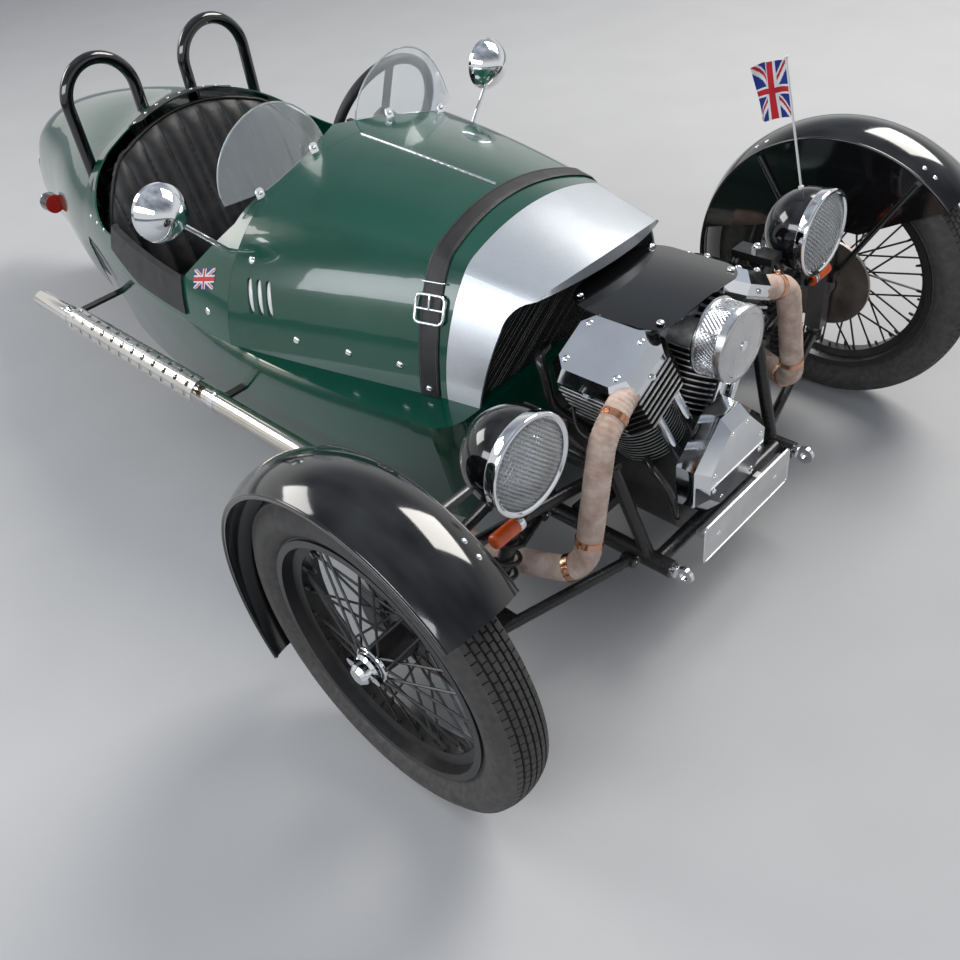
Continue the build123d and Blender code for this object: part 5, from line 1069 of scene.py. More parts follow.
# Springs.
def coil(foot, top, radius, wire, turns):
    foot, top = Vector(foot), Vector(top)
    along, side, up = across(top - foot)
    length = (top - foot).length
    count = int(turns * 28)
    path = []
    for step in range(count + 1):
        share = step / count
        turn = math.tau * turns * share
        # The end turns lie closer, as on a ground spring.
        lift = share - 0.035 * math.sin(math.tau * share)
        path.append(
            foot + along * (length * lift) + (side * math.cos(turn) + up * math.sin(turn)) * (radius - wire)
        )
    return tube(path, wire, 10)


def front_spring(side):
    name = side_name(side)
    top = Vector((FRONT_AXLE_X, side * 0.372, 0.5635))
    foot = Vector((FRONT_AXLE_X, side * 0.545, 0.2330))
    run = top - foot
    body = [
        (0, 0.004), (0.010, 0.004), (0.010, 0.02), (0.0165, 0.022), (0.0165, 0.55 * run.length),
        (0.0085, 0.555 * run.length),
    ]
    body += [
        (0.0085, run.length - 0.012), (0.016, run.length - 0.010), (0.016, run.length - 0.003),
        (0, run.length - 0.003),
    ]
    low, high = foot + run * 0.13, foot + run * 0.90
    seats = []
    for place, way in ((low, 1), (high, -1)):
        seats.append(
            turned(
                place, run * way,
                [(0.0166, -0.004), (0.031, -0.004), (0.0315, -0.002), (0.031, 0.0), (0.0166, 0.0)], 40,
            )
        )
    damper = new_piece(f"damper_{name}", gather(turned(foot, run, body, 32), *seats), damper_black)
    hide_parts("spring_dampers")
    new_piece(f"coil_spring_{name}", coil(low, high, 0.032, 0.0046, 8.0), spring_black, crease=60.0)


def rear_spring(side):
    name = side_name(side)
    foot = Vector((-0.905, side * 0.134, 0.330))
    top = Vector((-0.752, side * 0.160, 0.552))
    run = top - foot
    body = [
        (0, 0.012), (0.0115, 0.012), (0.0115, 0.05), (0.018, 0.052), (0.018, 0.60 * run.length),
        (0.010, 0.61 * run.length), (0.010, run.length), (0, run.length),
    ]
    new_piece(f"rear_damper_{name}", turned(foot, run, body, 28), damper_black)
    new_piece(
        f"rear_coil_{name}", coil(foot + run * 0.24, foot + run * 0.86, 0.026, 0.004, 8.0), spring_black,
        crease=60.0,
    )


# Seat.
SEAT_CHANNELS = 11
SQUAB_HALF = 0.376


def squab_top(y):
    y = abs(y)
    if y < 0.22:
        return 0.779 - 0.050 * (y / 0.22) ** 2
    return 0.729 - 0.186 * ((y - 0.22) / 0.156) ** 1.6


def squab_front(z):
    return -0.236 - 0.136 * (z - 0.347) / 0.483


def channel_swell(share):
    """Height of sewn channels across a pad, from 0 at a seam to 1 between two seams."""
    return abs(math.sin(math.pi * share * SEAT_CHANNELS)) ** 0.55


def pad_faces(columns, rows, turned=False):
    """Faces of a closed pad: a front and a back grid of points, joined round their edges.

    Turned quads start one corner later, which splits them along their other diagonal.
    """
    faces = []
    stride = rows + 1
    size = (columns + 1) * stride
    for layer in (0, 1):
        for column in range(columns):
            for row in range(rows):
                a = layer * size + column * stride + row
                quad = (a, a + stride, a + stride + 1, a + 1)
                if turned:
                    quad = quad[1:] + quad[:1]
                faces.append(quad if layer == 0 else quad[::-1])
    for column in range(columns):
        for row in (0, rows):
            a, b = column * stride + row, (column + 1) * stride + row
            faces.append((a, b, b + size, a + size) if row else (b, a, a + size, b + size))
    for row in range(rows):
        for column in (0, columns):
            a = column * stride + row
            faces.append(
                (a + 1, a, a + size, a + 1 + size) if column else (a, a + 1, a + 1 + size, a + size)
            )
    return faces


def squab_shape():
    columns, rows = SEAT_CHANNELS * 12, 26
    points = []
    for layer in (0, 1):
        for column in range(columns + 1):
            share = column / columns
            y = (2 * share - 1) * SQUAB_HALF
            top = squab_top(y)
            low = 0.366 if abs(y) < 0.30 else 0.366 + 0.155 * ((abs(y) - 0.30) / 0.076) ** 1.5
            for row in range(rows + 1):
                up = row / rows
                z = low + (top - low) * up
                rim = (1 - (2 * up - 1) ** 8) * (1 - (2 * share - 1) ** 10)
                front = squab_front(z)
                if layer == 0:
                    x = front - 0.030 + (0.010 + 0.019 * channel_swell(share)) * rim
                    x += 0.004 * math.sin(7 * z + 3 * y) * rim
                else:
                    x = front - 0.034 - 0.010 * rim
                points.append((x, y, z))
    return points, pad_faces(columns, rows)


def bench_shape():
    columns, rows = SEAT_CHANNELS * 12, 28
    points = []
    for layer in (0, 1):
        for column in range(columns + 1):
            share = column / columns
            for row in range(rows + 1):
                along = row / rows
                x = -0.322 + 0.506 * along
                half = 0.292 + 0.076 * along
                y = (2 * share - 1) * half
                rim = (1 - (2 * along - 1) ** 10) * (1 - (2 * share - 1) ** 12)
                split = min(1.0, abs(y) / 0.012) ** 0.5
                hollow = 0.016 * math.exp(-(((abs(y) - 0.17) / 0.10) ** 2 + ((x + 0.12) / 0.16) ** 2))
                swell = 0.024 + 0.019 * channel_swell(share)
                if layer == 0:
                    z = 0.300 + swell * rim * (0.55 + 0.45 * split) - hollow * rim
                else:
                    z = 0.1990
                spread = 1.0 + 0.012 * rim
                points.append((x, y * spread if layer == 0 else y, z))
    return points, pad_faces(columns, rows, turned=True)


def swell_with_cloth(piece, voxel, pressure, most):
    """Fills a pad as stuffing does: remesh, blow up as cloth, and keep each point within a short reach."""
    bpy.context.view_layer.objects.active = piece
    remesh = piece.modifiers.new("even mesh", "REMESH")
    remesh.mode = "VOXEL"
    remesh.voxel_size = voxel
    bpy.ops.object.select_all(action="DESELECT")
    piece.select_set(True)
    bpy.ops.object.modifier_apply(modifier=remesh.name)
    rest = [v.co.copy() for v in piece.data.vertices]
    cloth = piece.modifiers.new("stuffing", "CLOTH")
    cloth.settings.use_pressure = True
    cloth.settings.uniform_pressure_force = pressure
    cloth.settings.effector_weights.gravity = 0.0
    cloth.settings.quality = 5
    cloth.collision_settings.use_collision = False
    for step in range(1, 13):
        scene.frame_set(step)
    shown = piece.evaluated_get(bpy.context.evaluated_depsgraph_get())
    swollen = [v.co.copy() for v in shown.data.vertices]
    piece.modifiers.remove(cloth)
    scene.frame_set(1)
    for vertex, before, after in zip(piece.data.vertices, rest, swollen):
        move = after - before
        if move.length > most:
            move *= most / move.length
        vertex.co = before + move
    piece.data.shade_smooth()
    piece.data.update()


def seat_pieces():
    squab = new_piece("seat_squab", squab_shape(), seat_hide, crease=70.0)
    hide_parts("seat_back")
    bench = new_piece("seat_cushion", bench_shape(), seat_hide, crease=70.0)
    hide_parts("seat_base")
    for pad in (squab, bench):
        swell_with_cloth(pad, voxel=0.0055, pressure=1.0, most=0.003)
    piping = []
    for step in range(61):
        y = (step / 30 - 1) * (SQUAB_HALF - 0.004)
        z = squab_top(y) - 0.004
        piping.append((squab_front(z) - 0.020, y, z))
    new_piece("seat_piping", tube(piping, 0.0042, 10), trim_hide, crease=60.0)


# Bonnet strap.
def strap_pieces():
    find = skin_finder("bonnet")
    middle = Vector((0.0, 0.0, 0.50))
    spine = []
    for step in range(121):
        turn = math.radians(-94 + 188 * step / 120)
        direction = Vector((0.0, math.sin(turn), math.cos(turn)))
        lean_share = min(1.0, abs(math.sin(turn)) ** 2.2)
        x = 0.889 + 0.040 * lean_share
        start = Vector((x, middle.y, middle.z)) + direction * 0.6
        place, normal = find(start, -direction)
        if place is not None:
            spine.append((place, normal))
    half = 0.0235
    profile = [
        (-1.0, 0.0006), (-1.0, 0.0024), (-0.93, 0.0036), (-0.5, 0.0042), (0.0, 0.0044), (0.5, 0.0042),
        (0.93, 0.0036), (1.0, 0.0024), (1.0, 0.0006),
    ]
    points, faces = [], []
    for index, (place, normal) in enumerate(spine):
        before, after = spine[max(0, index - 1)][0], spine[min(len(spine) - 1, index + 1)][0]
        along = (after - before).normalized()
        wide = normal.cross(along).normalized()
        for share, lift in profile:
            points.append(place + wide * (share * half) + normal * (lift + 0.0006))
    width = len(profile)
    for index in range(len(spine) - 1):
        for step in range(width):
            beside = (step + 1) % width
            faces.append(
                (
                    index * width + step, index * width + beside, (index + 1) * width + beside,
                    (index + 1) * width + step,
                )
            )
    faces.append(tuple(range(width))[::-1])
    faces.append(tuple((len(spine) - 1) * width + step for step in range(width)))
    strap = new_piece("bonnet_strap_hide", (points, faces), strap_hide, crease=45.0)
    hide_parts("bonnet_strap")
    stitches = []
    for edge in (-0.80, 0.80):
        for index in range(1, len(spine) - 2):
            place, normal = spine[index]
            ahead = spine[index + 1][0]
            along = ahead - place
            wide = normal.cross(along.normalized()).normalized()
            for part in (0.05, 0.55):
                start = place + along * part + wide * (edge * half) + normal * 0.0046
                stitches.append(
                    tube([start, start + along * 0.16 + normal * 0.0004, start + along * 0.32], 0.00055, 6)
                )
    new_piece("strap_stitches", gather(*stitches), thread_grey, crease=60.0)
    for side in (-1, 1):
        name = side_name(side)
        index = min(
            range(len(spine)),
            key=lambda k: abs(spine[k][0].z - 0.655) + (0 if spine[k][0].y * side > 0 else 9),
        )
        place, normal = spine[index]
        along = (spine[index + 1][0] - spine[index - 1][0]).normalized()
        wide = normal.cross(along).normalized()
        centre = place + normal * 0.0085
        loop = [centre + wide * u + along * v for u, v in rounded_rectangle(0.066, 0.058, 0.012, 6)]
        bar = [centre + wide * -0.033, centre + wide * 0.033]
        tongue = [
            centre + normal * 0.002, centre + along * 0.015 + normal * 0.005,
            centre + along * 0.031 + normal * 0.0035,
        ]
        keeper = [
            place + along * 0.055 + wide * u + normal * (0.0035 + v)
            for u, v in rounded_rectangle(0.056, 0.011, 0.004, 3)
        ]
        new_piece(
            f"strap_buckle_{name}",
            gather(
                tube(loop, 0.0036, 10, looped=True), tube(bar, 0.003, 10), tube(tongue, 0.0026, 8),
                tube(keeper, 0.0018, 8, looped=True),
            ),
            chrome, crease=60.0,
        )
        end_index = 2 if side < 0 else len(spine) - 3
        end_place, end_normal = spine[end_index]
        new_piece(
            f"strap_stud_{name}", domed_screw(end_place + end_normal * 0.0055, end_normal, 0.008, 0.004),
            chrome,
        )


# Body trim.
def body_trim():
    find = skin_finder("bonnet", "cockpit_body", "nose_cowl")
    ridge = []
    for step in range(60):
        x = 0.425 + (0.855 - 0.425) * step / 59
        place, _ = find((x, 0, 1.2), (0, 0, -1))
        ridge.append((place.x, 0.0, place.z + 0.0004))
    new_piece(
        "bonnet_hinge", tube(ridge, lambda index, turn: 0.0034 if index % 3 else 0.0029, 10), chrome,
        crease=60.0,
    )
    bright, dull = [], []
    for side in (-1, 1):
        for x, z in ((0.455, 0.690), (0.600, 0.545), (0.735, 0.540), (0.860, 0.535), (0.330, 0.560)):
            place, normal = find((x, side * 1.0, z), (0, -side, 0))
            if place is not None:
                bright.append(domed_screw(place, normal, 0.009, 0.0035))
        for x in (-0.36, -0.30, -0.24):
            place, normal = find((x, side * 1.0, 0.60), (0, -side, 0))
            if place is not None:
                dull.append(domed_screw(place, normal, 0.005, 0.002))
    new_piece("flank_fasteners", gather(*bright), chrome)
    if dull:
        new_piece("cockpit_rivets", gather(*dull), chrome)
    # Vanes standing in the louvre slots, coloured white: a painted reflection of the sky on louvres that are
    # green like the bonnet.
    vanes = []
    for side in (-1, 1):
        for index in range(3):
            rows = []
            for step in range(13):
                share = step / 12 - 0.5
                x = 0.470 + 0.026 * index - 0.019 * share - 0.0004
                z = 0.622 + 0.070 * share
                place, normal = find((x + 0.014, side * 1.0, z), (0, -side, 0))
                if place is None:
                    continue
                swell = math.sqrt(max(0.0, 1 - (2 * share) ** 2))
                rows.append((Vector((x, place.y, z)), normal, swell))
            points, faces = [], []
            for place, normal, swell in rows:
                for part in range(9):
                    turn = math.pi * part / 8
                    slide = Vector((0.0085 * swell * math.cos(turn), 0, 0))
                    points.append(place + slide + normal * (0.0055 * swell * math.sin(turn) - 0.0015))
            for row in range(len(rows) - 1):
                for part in range(8):
                    a = row * 9 + part
                    faces.append((a, a + 1, a + 10, a + 9))
            vanes.append((points, faces))
    new_piece("bonnet_louvres", gather(*vanes), louvre_painted_sky_reflection, crease=60.0)


# National flag.
def cross_pattern(u, v):
    """Which cloth shows at a place on a 2 by 1 flag of crosses: 0 blue, 1 white, 2 red."""
    x, y = 2 * u - 1, 2 * v - 1
    if abs(y) < 0.2 or abs(x) < 0.1:
        return 2
    if abs(y) < 0.333 or abs(x) < 0.167:
        return 1
    slant = (abs(x) - abs(y)) * 0.894
    turn = 1 if x * y > 0 else -1
    lean = slant * turn * (1 if y > 0 else -1)
    if -0.02 < lean < 0.115:
        return 2
    if abs(slant) < 0.20:
        return 1
    return 0


def flag_patches(columns, rows, place, upright=False):
    """A grid of cloth or print with one of three colours on each cell; upright runs it along the rows."""
    points = [
        place(column / columns, row / rows) for row in range(rows + 1) for column in range(columns + 1)
    ]
    faces, colours = [], []
    stride = columns + 1
    for row in range(rows):
        for column in range(columns):
            a = row * stride + column
            faces.append((a, a + 1, a + stride + 1, a + stride))
            across_cell, up_cell = (column + 0.5) / columns, (row + 0.5) / rows
            colours.append(
                cross_pattern(up_cell, across_cell) if upright else cross_pattern(across_cell, up_cell)
            )
    return (points, faces), colours


def paint_patches(piece, colours, finishes):
    piece.data.materials.clear()
    for finish in finishes:
        piece.data.materials.append(finish)
    for patch, colour in zip(piece.data.polygons, colours):
        patch.material_index = colour


def flag_pieces():
    foot, top = Vector((1.3010, 0.495, 0.678)), Vector((1.2345, 0.495, 0.9600))
    staff_shape = tube([foot.lerp(top, step / 12) for step in range(13)], 0.0026, 12)
    knob = turned(
        top, top - foot, [(0, -0.004), (0.004, -0.002), (0.0045, 0.001), (0.003, 0.0018), (0, 0.002)], 20
    )
    clamp = turned(
        foot + (top - foot) * 0.02, top - foot,
        [(0.0026, 0), (0.007, 0.0), (0.006, 0.012), (0.0026, 0.014)], 24,
    )
    staff = new_piece("flag_staff", gather(staff_shape, knob, clamp), staff_white, crease=50.0)
    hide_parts("flag")
    up = (top - foot).normalized()
    root = foot + up * ((0.955 - foot.z) / up.z)
    fly, drop = 0.078, 0.118
    back = Vector((-1.0, 0.0, -0.12)).normalized()

    def cloth(u, v):
        wave = 0.010 * u * math.sin(7.5 * u + 2.2 * v) + 0.004 * u * math.sin(14 * u - 3 * v)
        sag = 0.016 * u * u
        return root - up * (drop * (1 - v)) + back * (fly * u) + Vector((0, wave, -sag))

    # The cloth hangs from the staff by its short edge, so the pattern runs along the staff.
    shape, colours = flag_patches(60, 84, cloth, upright=True)
    banner = new_piece("flag_banner", shape, flag_blue, crease=80.0)
    paint_patches(banner, colours, (flag_blue, flag_white, flag_red))
    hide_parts("flag")


def flank_print():
    """A small print of the same flag on the driver's and the passenger's flank."""
    find = skin_finder("cockpit_body")
    for side in (-1, 1):
        name = side_name(side)

        def lie(u, v, side=side):
            x = 0.352 - 0.078 * (1 - u)
            z = 0.606 + 0.044 * v + 0.018 * (u - 0.5)
            place, normal = find((x, side * 1.0, z), (0, -side, 0))
            return place + normal * 0.0006

        shape, colours = flag_patches(48, 28, lie)
        print_piece = new_piece(f"flank_print_{name}", shape, flag_blue, crease=80.0)
        paint_patches(print_piece, colours, (print_blue, print_white, print_red))


# Grille.
def grille_piece():
    """A woven wire lattice laid over the dark grille panel."""
    low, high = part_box("grille")
    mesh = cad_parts["grille"].data
    table = BVHTree.FromPolygons([v.co for v in mesh.vertices], [tuple(p.vertices) for p in mesh.polygons])
    wires = []
    pitch = 0.0125
    span = high.z - low.z
    count = int((high.y - low.y + span) / pitch)
    for way in (-1, 1):
        for index in range(count):
            offset = low.y - span + index * pitch if way > 0 else low.y + index * pitch
            run = []
            for step in range(int(span / 0.006)):
                z = low.z + 0.004 + step * 0.006
                y = offset + (z - low.z) * way
                start = Vector((high.x + 0.2, y, z))
                hit, _, _, _ = table.ray_cast(start, Vector((-1, 0, 0)))
                if hit is None:
                    if len(run) > 1:
                        wires.append(run)
                    run = []
                else:
                    over = 0.0013 if (step + index + (1 if way > 0 else 0)) % 2 else 0.0021
                    run.append(hit + Vector((over, 0, 0)))
            if len(run) > 1:
                wires.append(run)
    new_piece(
        "grille_lattice",
        gather(*[tube(run[::2] + [run[-1]], 0.0010, 5) for run in wires if len(run) > 2]), grille_wire,
        crease=60.0,
    )


# Engine dressing.
def on_bank(side, forward, across_bank, height):
    """A point square to one cylinder: forward of its bore, across it, and up from the crankshaft."""
    up = Vector((0, side * math.sin(VEE_LEAN), math.cos(VEE_LEAN)))
    out = Vector((0, math.cos(VEE_LEAN), -side * math.sin(VEE_LEAN)))
    return Vector((ENGINE_X + forward, 0, CRANK_Z)) + out * across_bank + up * height, up, out


def engine_bolts():
    bolts = []
    for side in (-1, 1):
        for forward in (-0.060, 0.060):
            for across_bank in (-0.042, 0.042):
                place, up, _ = on_bank(side, forward, across_bank, 0.428)
                bolts.append(domed_screw(place, up, 0.0075, 0.0045))
        for forward, across_bank in ((-0.094, 0.0), (0.094, 0.0), (0.0, -0.078), (0.0, 0.078)):
            place, up, out = on_bank(side, forward, across_bank, 0.392)
            if forward:
                way = Vector((math.copysign(1, forward), 0, 0))
            else:
                way = out * math.copysign(1, across_bank)
            bolts.append(hex_bolt(place + way * 0.0052, way, 0.005, 0.005))
    for y, rise in ((0.086, 0.040), (0.086, 0.078), (0.026, 0.146), (0.056, 0.004)):
        for side in (-1, 1):
            bolts.append(domed_screw((1.4728, side * y, CRANK_Z + rise), (1, 0, 0), 0.007, 0.003))
    for forward in (-0.095, 0.095):
        for y in (-0.118, 0.118):
            lift = 0.6945 - 0.0110 * (y / 0.1467) ** 2
            bolts.append(domed_screw((1.265 + forward, y, lift - 0.0002), (0, 0, 1), 0.008, 0.0035))
    new_piece("engine_bolts", gather(*bolts), chrome)


def air_cleaner_pieces():
    """Bright drum with a ribbed, meshed waist and a spun front."""
    x, z = 1.397, 0.610
    drum = [
        (0, 0.001), (0.0775, 0.001), (0.0780, 0.003), (0.0780, 0.0055), (0.0745, 0.0062), (0.0735, 0.009)
    ]
    drum += [
        (0.0735, 0.048), (0.0745, 0.0505), (0.0780, 0.0520), (0.0780, 0.0640), (0.0765, 0.0675),
        (0.0725, 0.0700),
    ]
    drum += [(0.0640, 0.0708), (0.0625, 0.0695), (0.0300, 0.0700), (0.0, 0.0702)]
    body = new_piece("air_cleaner_drum", turned((x, 0, z), (1, 0, 0), drum, 120), cleaner_front, crease=40.0)
    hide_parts("air_cleaner")
    strands = []
    for way in (-1, 1):
        for index in range(60):
            path = []
            for step in range(9):
                share = step / 8
                turn = math.tau * index / 60 + way * share * 0.38
                radius = 0.0745 + (0.0006 if (step + index) % 2 else 0.0)
                path.append(
                    (x + 0.0095 + 0.0385 * share, radius * math.cos(turn), z + radius * math.sin(turn))
                )
            strands.append(tube(path, 0.0007, 4))
    new_piece("air_cleaner_mesh", gather(*strands), chrome, crease=60.0)
    hub = [(0, 0.0702), (0.010, 0.0702), (0.010, 0.0719), (0.007, 0.0719), (0, 0.0719)]
    new_piece("air_cleaner_nut", turned((x, 0, z), (1, 0, 0), hub, 24), chrome)


def engine_plumbing():
    """Plug caps with their leads, and the coolant and oil pipes that run between fixed fittings."""
    cap = [(0, 0), (0.008, 0), (0.008, 0.014), (0.006, 0.018), (0.006, 0.030), (0.003, 0.034), (0, 0.034)]
    for side in (-1, 1):
        name = side_name(side)
        plug, _, out = on_bank(side, 0.066, side * 0.0865, 0.330)
        outer = out * side
        new_piece(
            f"plug_cap_{name}", turned(plug - outer * 0.004, outer, cap, 20), rubber_black, crease=50.0
        )
        route = [
            plug + outer * 0.026, plug + outer * 0.040 + Vector((-0.02, 0, -0.01)),
            plug + outer * 0.030 + Vector((-0.09, 0, -0.015)),
            Vector((1.165, side * 0.150, 0.520)), Vector((1.120, side * 0.090, 0.540)),
        ]
        new_piece(f"plug_pipe_{name}", tube(smooth_run(route, 40), 0.0036, 10), rubber_black, crease=60.0)
    hose = [
        (1.100, -0.150, 0.560), (1.130, -0.205, 0.575), (1.150, -0.215, 0.545), (1.158, -0.205, 0.470),
        (1.172, -0.150, 0.400), (1.178, -0.115, 0.360),
    ]
    new_piece(
        "coolant_pipe", tube(smooth_run([Vector(p) for p in hose], 50), 0.011, 16), pipe_blued, crease=60.0
    )
    hose = [
        (1.404, -0.120, 0.240), (1.425, -0.150, 0.262), (1.420, -0.165, 0.330), (1.385, -0.168, 0.372),
        (1.350, -0.150, 0.380),
    ]
    new_piece(
        "oil_pipe", tube(smooth_run([Vector(p) for p in hose], 40), 0.0085, 14), pipe_blued, crease=60.0
    )


def smooth_run(points, count):
    """A smooth line through a few points."""
    out = []
    last = len(points) - 1
    for step in range(count + 1):
        at = step / count * last
        index = min(int(at), last - 1)
        t = at - index
        before, start = points[max(0, index - 1)], points[index]
        end, after = points[index + 1], points[min(last, index + 2)]
        out.append(
            0.5 * ((2 * start) + (end - before) * t + (2 * before - 5 * start + 4 * end - after) * t * t
                   + (3 * start - before - 3 * end + after) * t * t * t)
        )
    return out


# Wings and wheels.
def wing_edges(side):
    """A rolled bead along both long edges of a wing, and bolt heads on its stays."""
    name = side_name(side)
    body = f"knuckle_{name}"
    wing_radius, wing_crown, wing_half = 0.371, 0.024, 0.076
    bead_radius, bead_half = 0.3695, 0.0745
    bolt_inset = 0.052
    beads = []
    for edge in (-1, 1):
        path = []
        for step in range(101):
            turn = math.radians(44.0 + 167.0 * step / 100)
            path.append((
                FRONT_AXLE_X + bead_radius * math.cos(turn), side * HALF_TRACK + edge * bead_half,
                FRONT_TYRE_RADIUS + bead_radius * math.sin(turn),
            ))
        beads.append(tube(path, 0.0036, 10))
    new_piece(f"wing_beads_{name}", gather(*beads), black_gloss, body, crease=60.0)
    bolts = []
    for angle in (58.0, 125.0):
        turn = math.radians(angle)
        for offset in (-0.016, 0.016):
            lean = turn + offset / 0.385
            way = Vector((math.cos(lean), 0, math.sin(lean)))
            hub = Vector((FRONT_AXLE_X, side * (HALF_TRACK - bolt_inset), FRONT_TYRE_RADIUS))
            skin = wing_radius + wing_crown * (1 - (bolt_inset / wing_half) ** 2) - 0.0008
            bolts.append(domed_screw(hub + way * skin, way, 0.006, 0.003))
    new_piece(f"wing_bolts_{name}", gather(*bolts), chrome, body)


def wheel_trim(side):
    """Spoke nipples at the rim, a valve, and the hub's collar."""
    name = side_name(side)
    centre = Vector((FRONT_AXLE_X, side * HALF_TRACK, FRONT_TYRE_RADIUS))
    rim_bed = 0.2215
    nipples = []
    for index in range(40):
        turn = math.tau * (index + 0.25) / 40
        out = Vector((math.cos(turn), 0, math.sin(turn)))
        place = centre + out * rim_bed + Vector((0, side * (0.010 if index % 2 else -0.010), 0))
        nipples.append(
            turned(place, -out, [(0, 0), (0.0036, 0.0), (0.0036, 0.006), (0.0028, 0.012), (0, 0.012)], 8)
        )
    valve = Vector((math.cos(4.1), 0, math.sin(4.1)))
    stem = [(0, 0), (0.004, 0), (0.004, 0.02), (0.0055, 0.022), (0.0055, 0.034), (0, 0.034)]
    new_piece(f"spoke_nipples_{name}", gather(*nipples), wheel_black, f"wheel_{name}")
    new_piece(
        f"tyre_valve_{name}", turned(centre + valve * rim_bed, -valve, stem, 14), chrome, f"wheel_{name}"
    )
    collar = [(0.0338, -0.007), (0.0372, -0.006), (0.0378, -0.002), (0.0366, 0.0001), (0.0338, 0.0001)]
    start = centre + Vector((0, side * 0.046, 0))
    new_piece(f"hub_collar_{name}", turned(start, (0, side, 0), collar, 48), chrome, f"wheel_{name}")


# Small fittings.
def dial_pieces():
    for index, y in enumerate((0.150, -0.040)):
        centre = Vector((0.3800, y, 0.720))
        back = Vector((-1, 0, 0))
        bezel = [
            (0.040, 0.0), (0.0475, 0.0), (0.0480, 0.002), (0.0455, 0.0055), (0.0420, 0.0060),
            (0.0400, 0.0040),
        ]
        new_piece(f"dial_bezel_{index}", turned(centre, back, bezel, 64), chrome, crease=50.0)
        new_piece(
            f"dial_face_{index}",
            turned(centre, back, [(0, 0.0), (0.0405, 0.0), (0.0405, 0.0015), (0, 0.0015)], 64), dial_cream,
        )
        marks = []
        for mark in range(21):
            turn = math.radians(-130 + 260 * mark / 20)
            out = Vector((0, -math.sin(turn), math.cos(turn)))
            long = 0.007 if mark % 5 == 0 else 0.004
            marks.append(
                tube(
                    [centre + back * 0.0018 + out * 0.036, centre + back * 0.0018 + out * (0.036 - long)],
                    0.0005, 5,
                )
            )
        turn = math.radians(-100 + 40 * index)
        out = Vector((0, -math.sin(turn), math.cos(turn)))
        marks.append(
            tube(
                [centre + back * 0.0026 - out * 0.006, centre + back * 0.0026 + out * 0.030],
                lambda i, t: 0.0009 - 0.0004 * i, 6,
            )
        )
        marks.append(
            turned(centre + back * 0.002, back, [(0, 0), (0.003, 0), (0.003, 0.0015), (0, 0.002)], 16)
        )
        new_piece(f"dial_marks_{index}", gather(*marks), dash_black)


def steering_details():
    """Centre boss and bolts on the wheel's face."""
    centre = Vector((0.203, 0.250, 0.745))
    toward = Vector((-0.927184, 0, 0.374607))
    boss = [(0, 0.0), (0.030, 0.0), (0.030, 0.004), (0.022, 0.011), (0.012, 0.015), (0, 0.016)]
    pieces = [turned(centre + toward * 0.0098, toward, boss, 48)]
    side = Vector((0, 1, 0))
    up = toward.cross(side)
    for turn in range(0, 360, 60):
        out = side * math.cos(math.radians(turn)) + up * math.sin(math.radians(turn))
        pieces.append(hex_bolt(centre + out * 0.0262 + toward * 0.0133, toward, 0.0024, 0.0025))
    new_piece("steering_boss", gather(*pieces), chrome, "steering_wheel")


def screen_brackets():
    find = skin_finder("cockpit_body", "bonnet")
    clips = []
    for side in (-1, 1):
        for offset in (-0.085, 0.085):
            y = side * 0.205 + offset
            x = 0.396 - (0.300 - math.sqrt(0.300 ** 2 - offset ** 2)) + 0.008
            place, _ = find((x, y, 1.2), (0, 0, -1))
            if place is None:
                continue
            out = [(-0.011, 0), (0.011, 0), (0.011, 0.018), (0.006, 0.024), (-0.006, 0.024), (-0.011, 0.018)]
            clips.append(
                plate(out, place + Vector((0.001, 0, -0.001)), (0, 1, 0), (-0.24, 0, 0.97), 0.003, 0.0006)
            )
            clips.append(domed_screw(place + Vector((0.0035, 0, 0.012)), (1, 0, 0.2), 0.004, 0.002))
    new_piece("screen_brackets", gather(*clips), chrome)


def arc_through(first, middle, last, steps=24):
    """Points along the circle arc through three flat points."""
    (ax, ay), (bx, by), (cx, cy) = first, middle, last
    scale = 2 * (ax * (by - cy) + bx * (cy - ay) + cx * (ay - by))
    ux = (
        (ax * ax + ay * ay) * (by - cy) + (bx * bx + by * by) * (cy - ay) + (cx * cx + cy * cy) * (ay - by)
    ) / scale
    uy = (
        (ax * ax + ay * ay) * (cx - bx) + (bx * bx + by * by) * (ax - cx) + (cx * cx + cy * cy) * (bx - ax)
    ) / scale
    radius = math.hypot(ax - ux, ay - uy)
    start, end = math.atan2(ay - uy, ax - ux), math.atan2(cy - uy, cx - ux)
    return [
        (
            ux + radius * math.cos(start + (end - start) * step / steps),
            uy + radius * math.sin(start + (end - start) * step / steps),
        )
        for step in range(steps + 1)
    ]


def screen_edges():
    """Polished edge of each curved fly screen, a pale tube: a painted highlight where the clear edge catches
    the light.
    """
    lean = math.radians(14.0)
    half = arc_through((0.158, 0.0), (0.1264, 0.1066), (0.0, 0.172))
    outline = half + [(-across_screen, height) for across_screen, height in half[::-1][1:]]
    for side in (-1, 1):
        path = []
        for across_screen, height in outline:
            if height < 0.012:
                continue
            bow = -(0.298 - math.sqrt(0.298 ** 2 - across_screen ** 2)) - 0.002
            path.append((
                0.396 + bow * math.cos(lean) - height * math.sin(lean), side * 0.205 + across_screen,
                0.792 + bow * math.sin(lean) + height * math.cos(lean) - 0.0022,
            ))
        name = side_name(side)
        new_piece(f"screen_edge_painted_glint_{name}", tube(path, 0.0022, 8), screen_edge_painted_glint, crease=60.0)


def mirror_glass():
    shapes = []
    for side in (-1, 1):
        centre = Vector((0.3438, side * 0.515, 0.828))
        shapes.append(turned(centre, (-1, 0, 0), [(0, 0.0), (0.057, 0.0), (0.057, 0.0008), (0, 0.0022)], 64))
    new_piece("mirror_glass", gather(*shapes), mirror_silver)


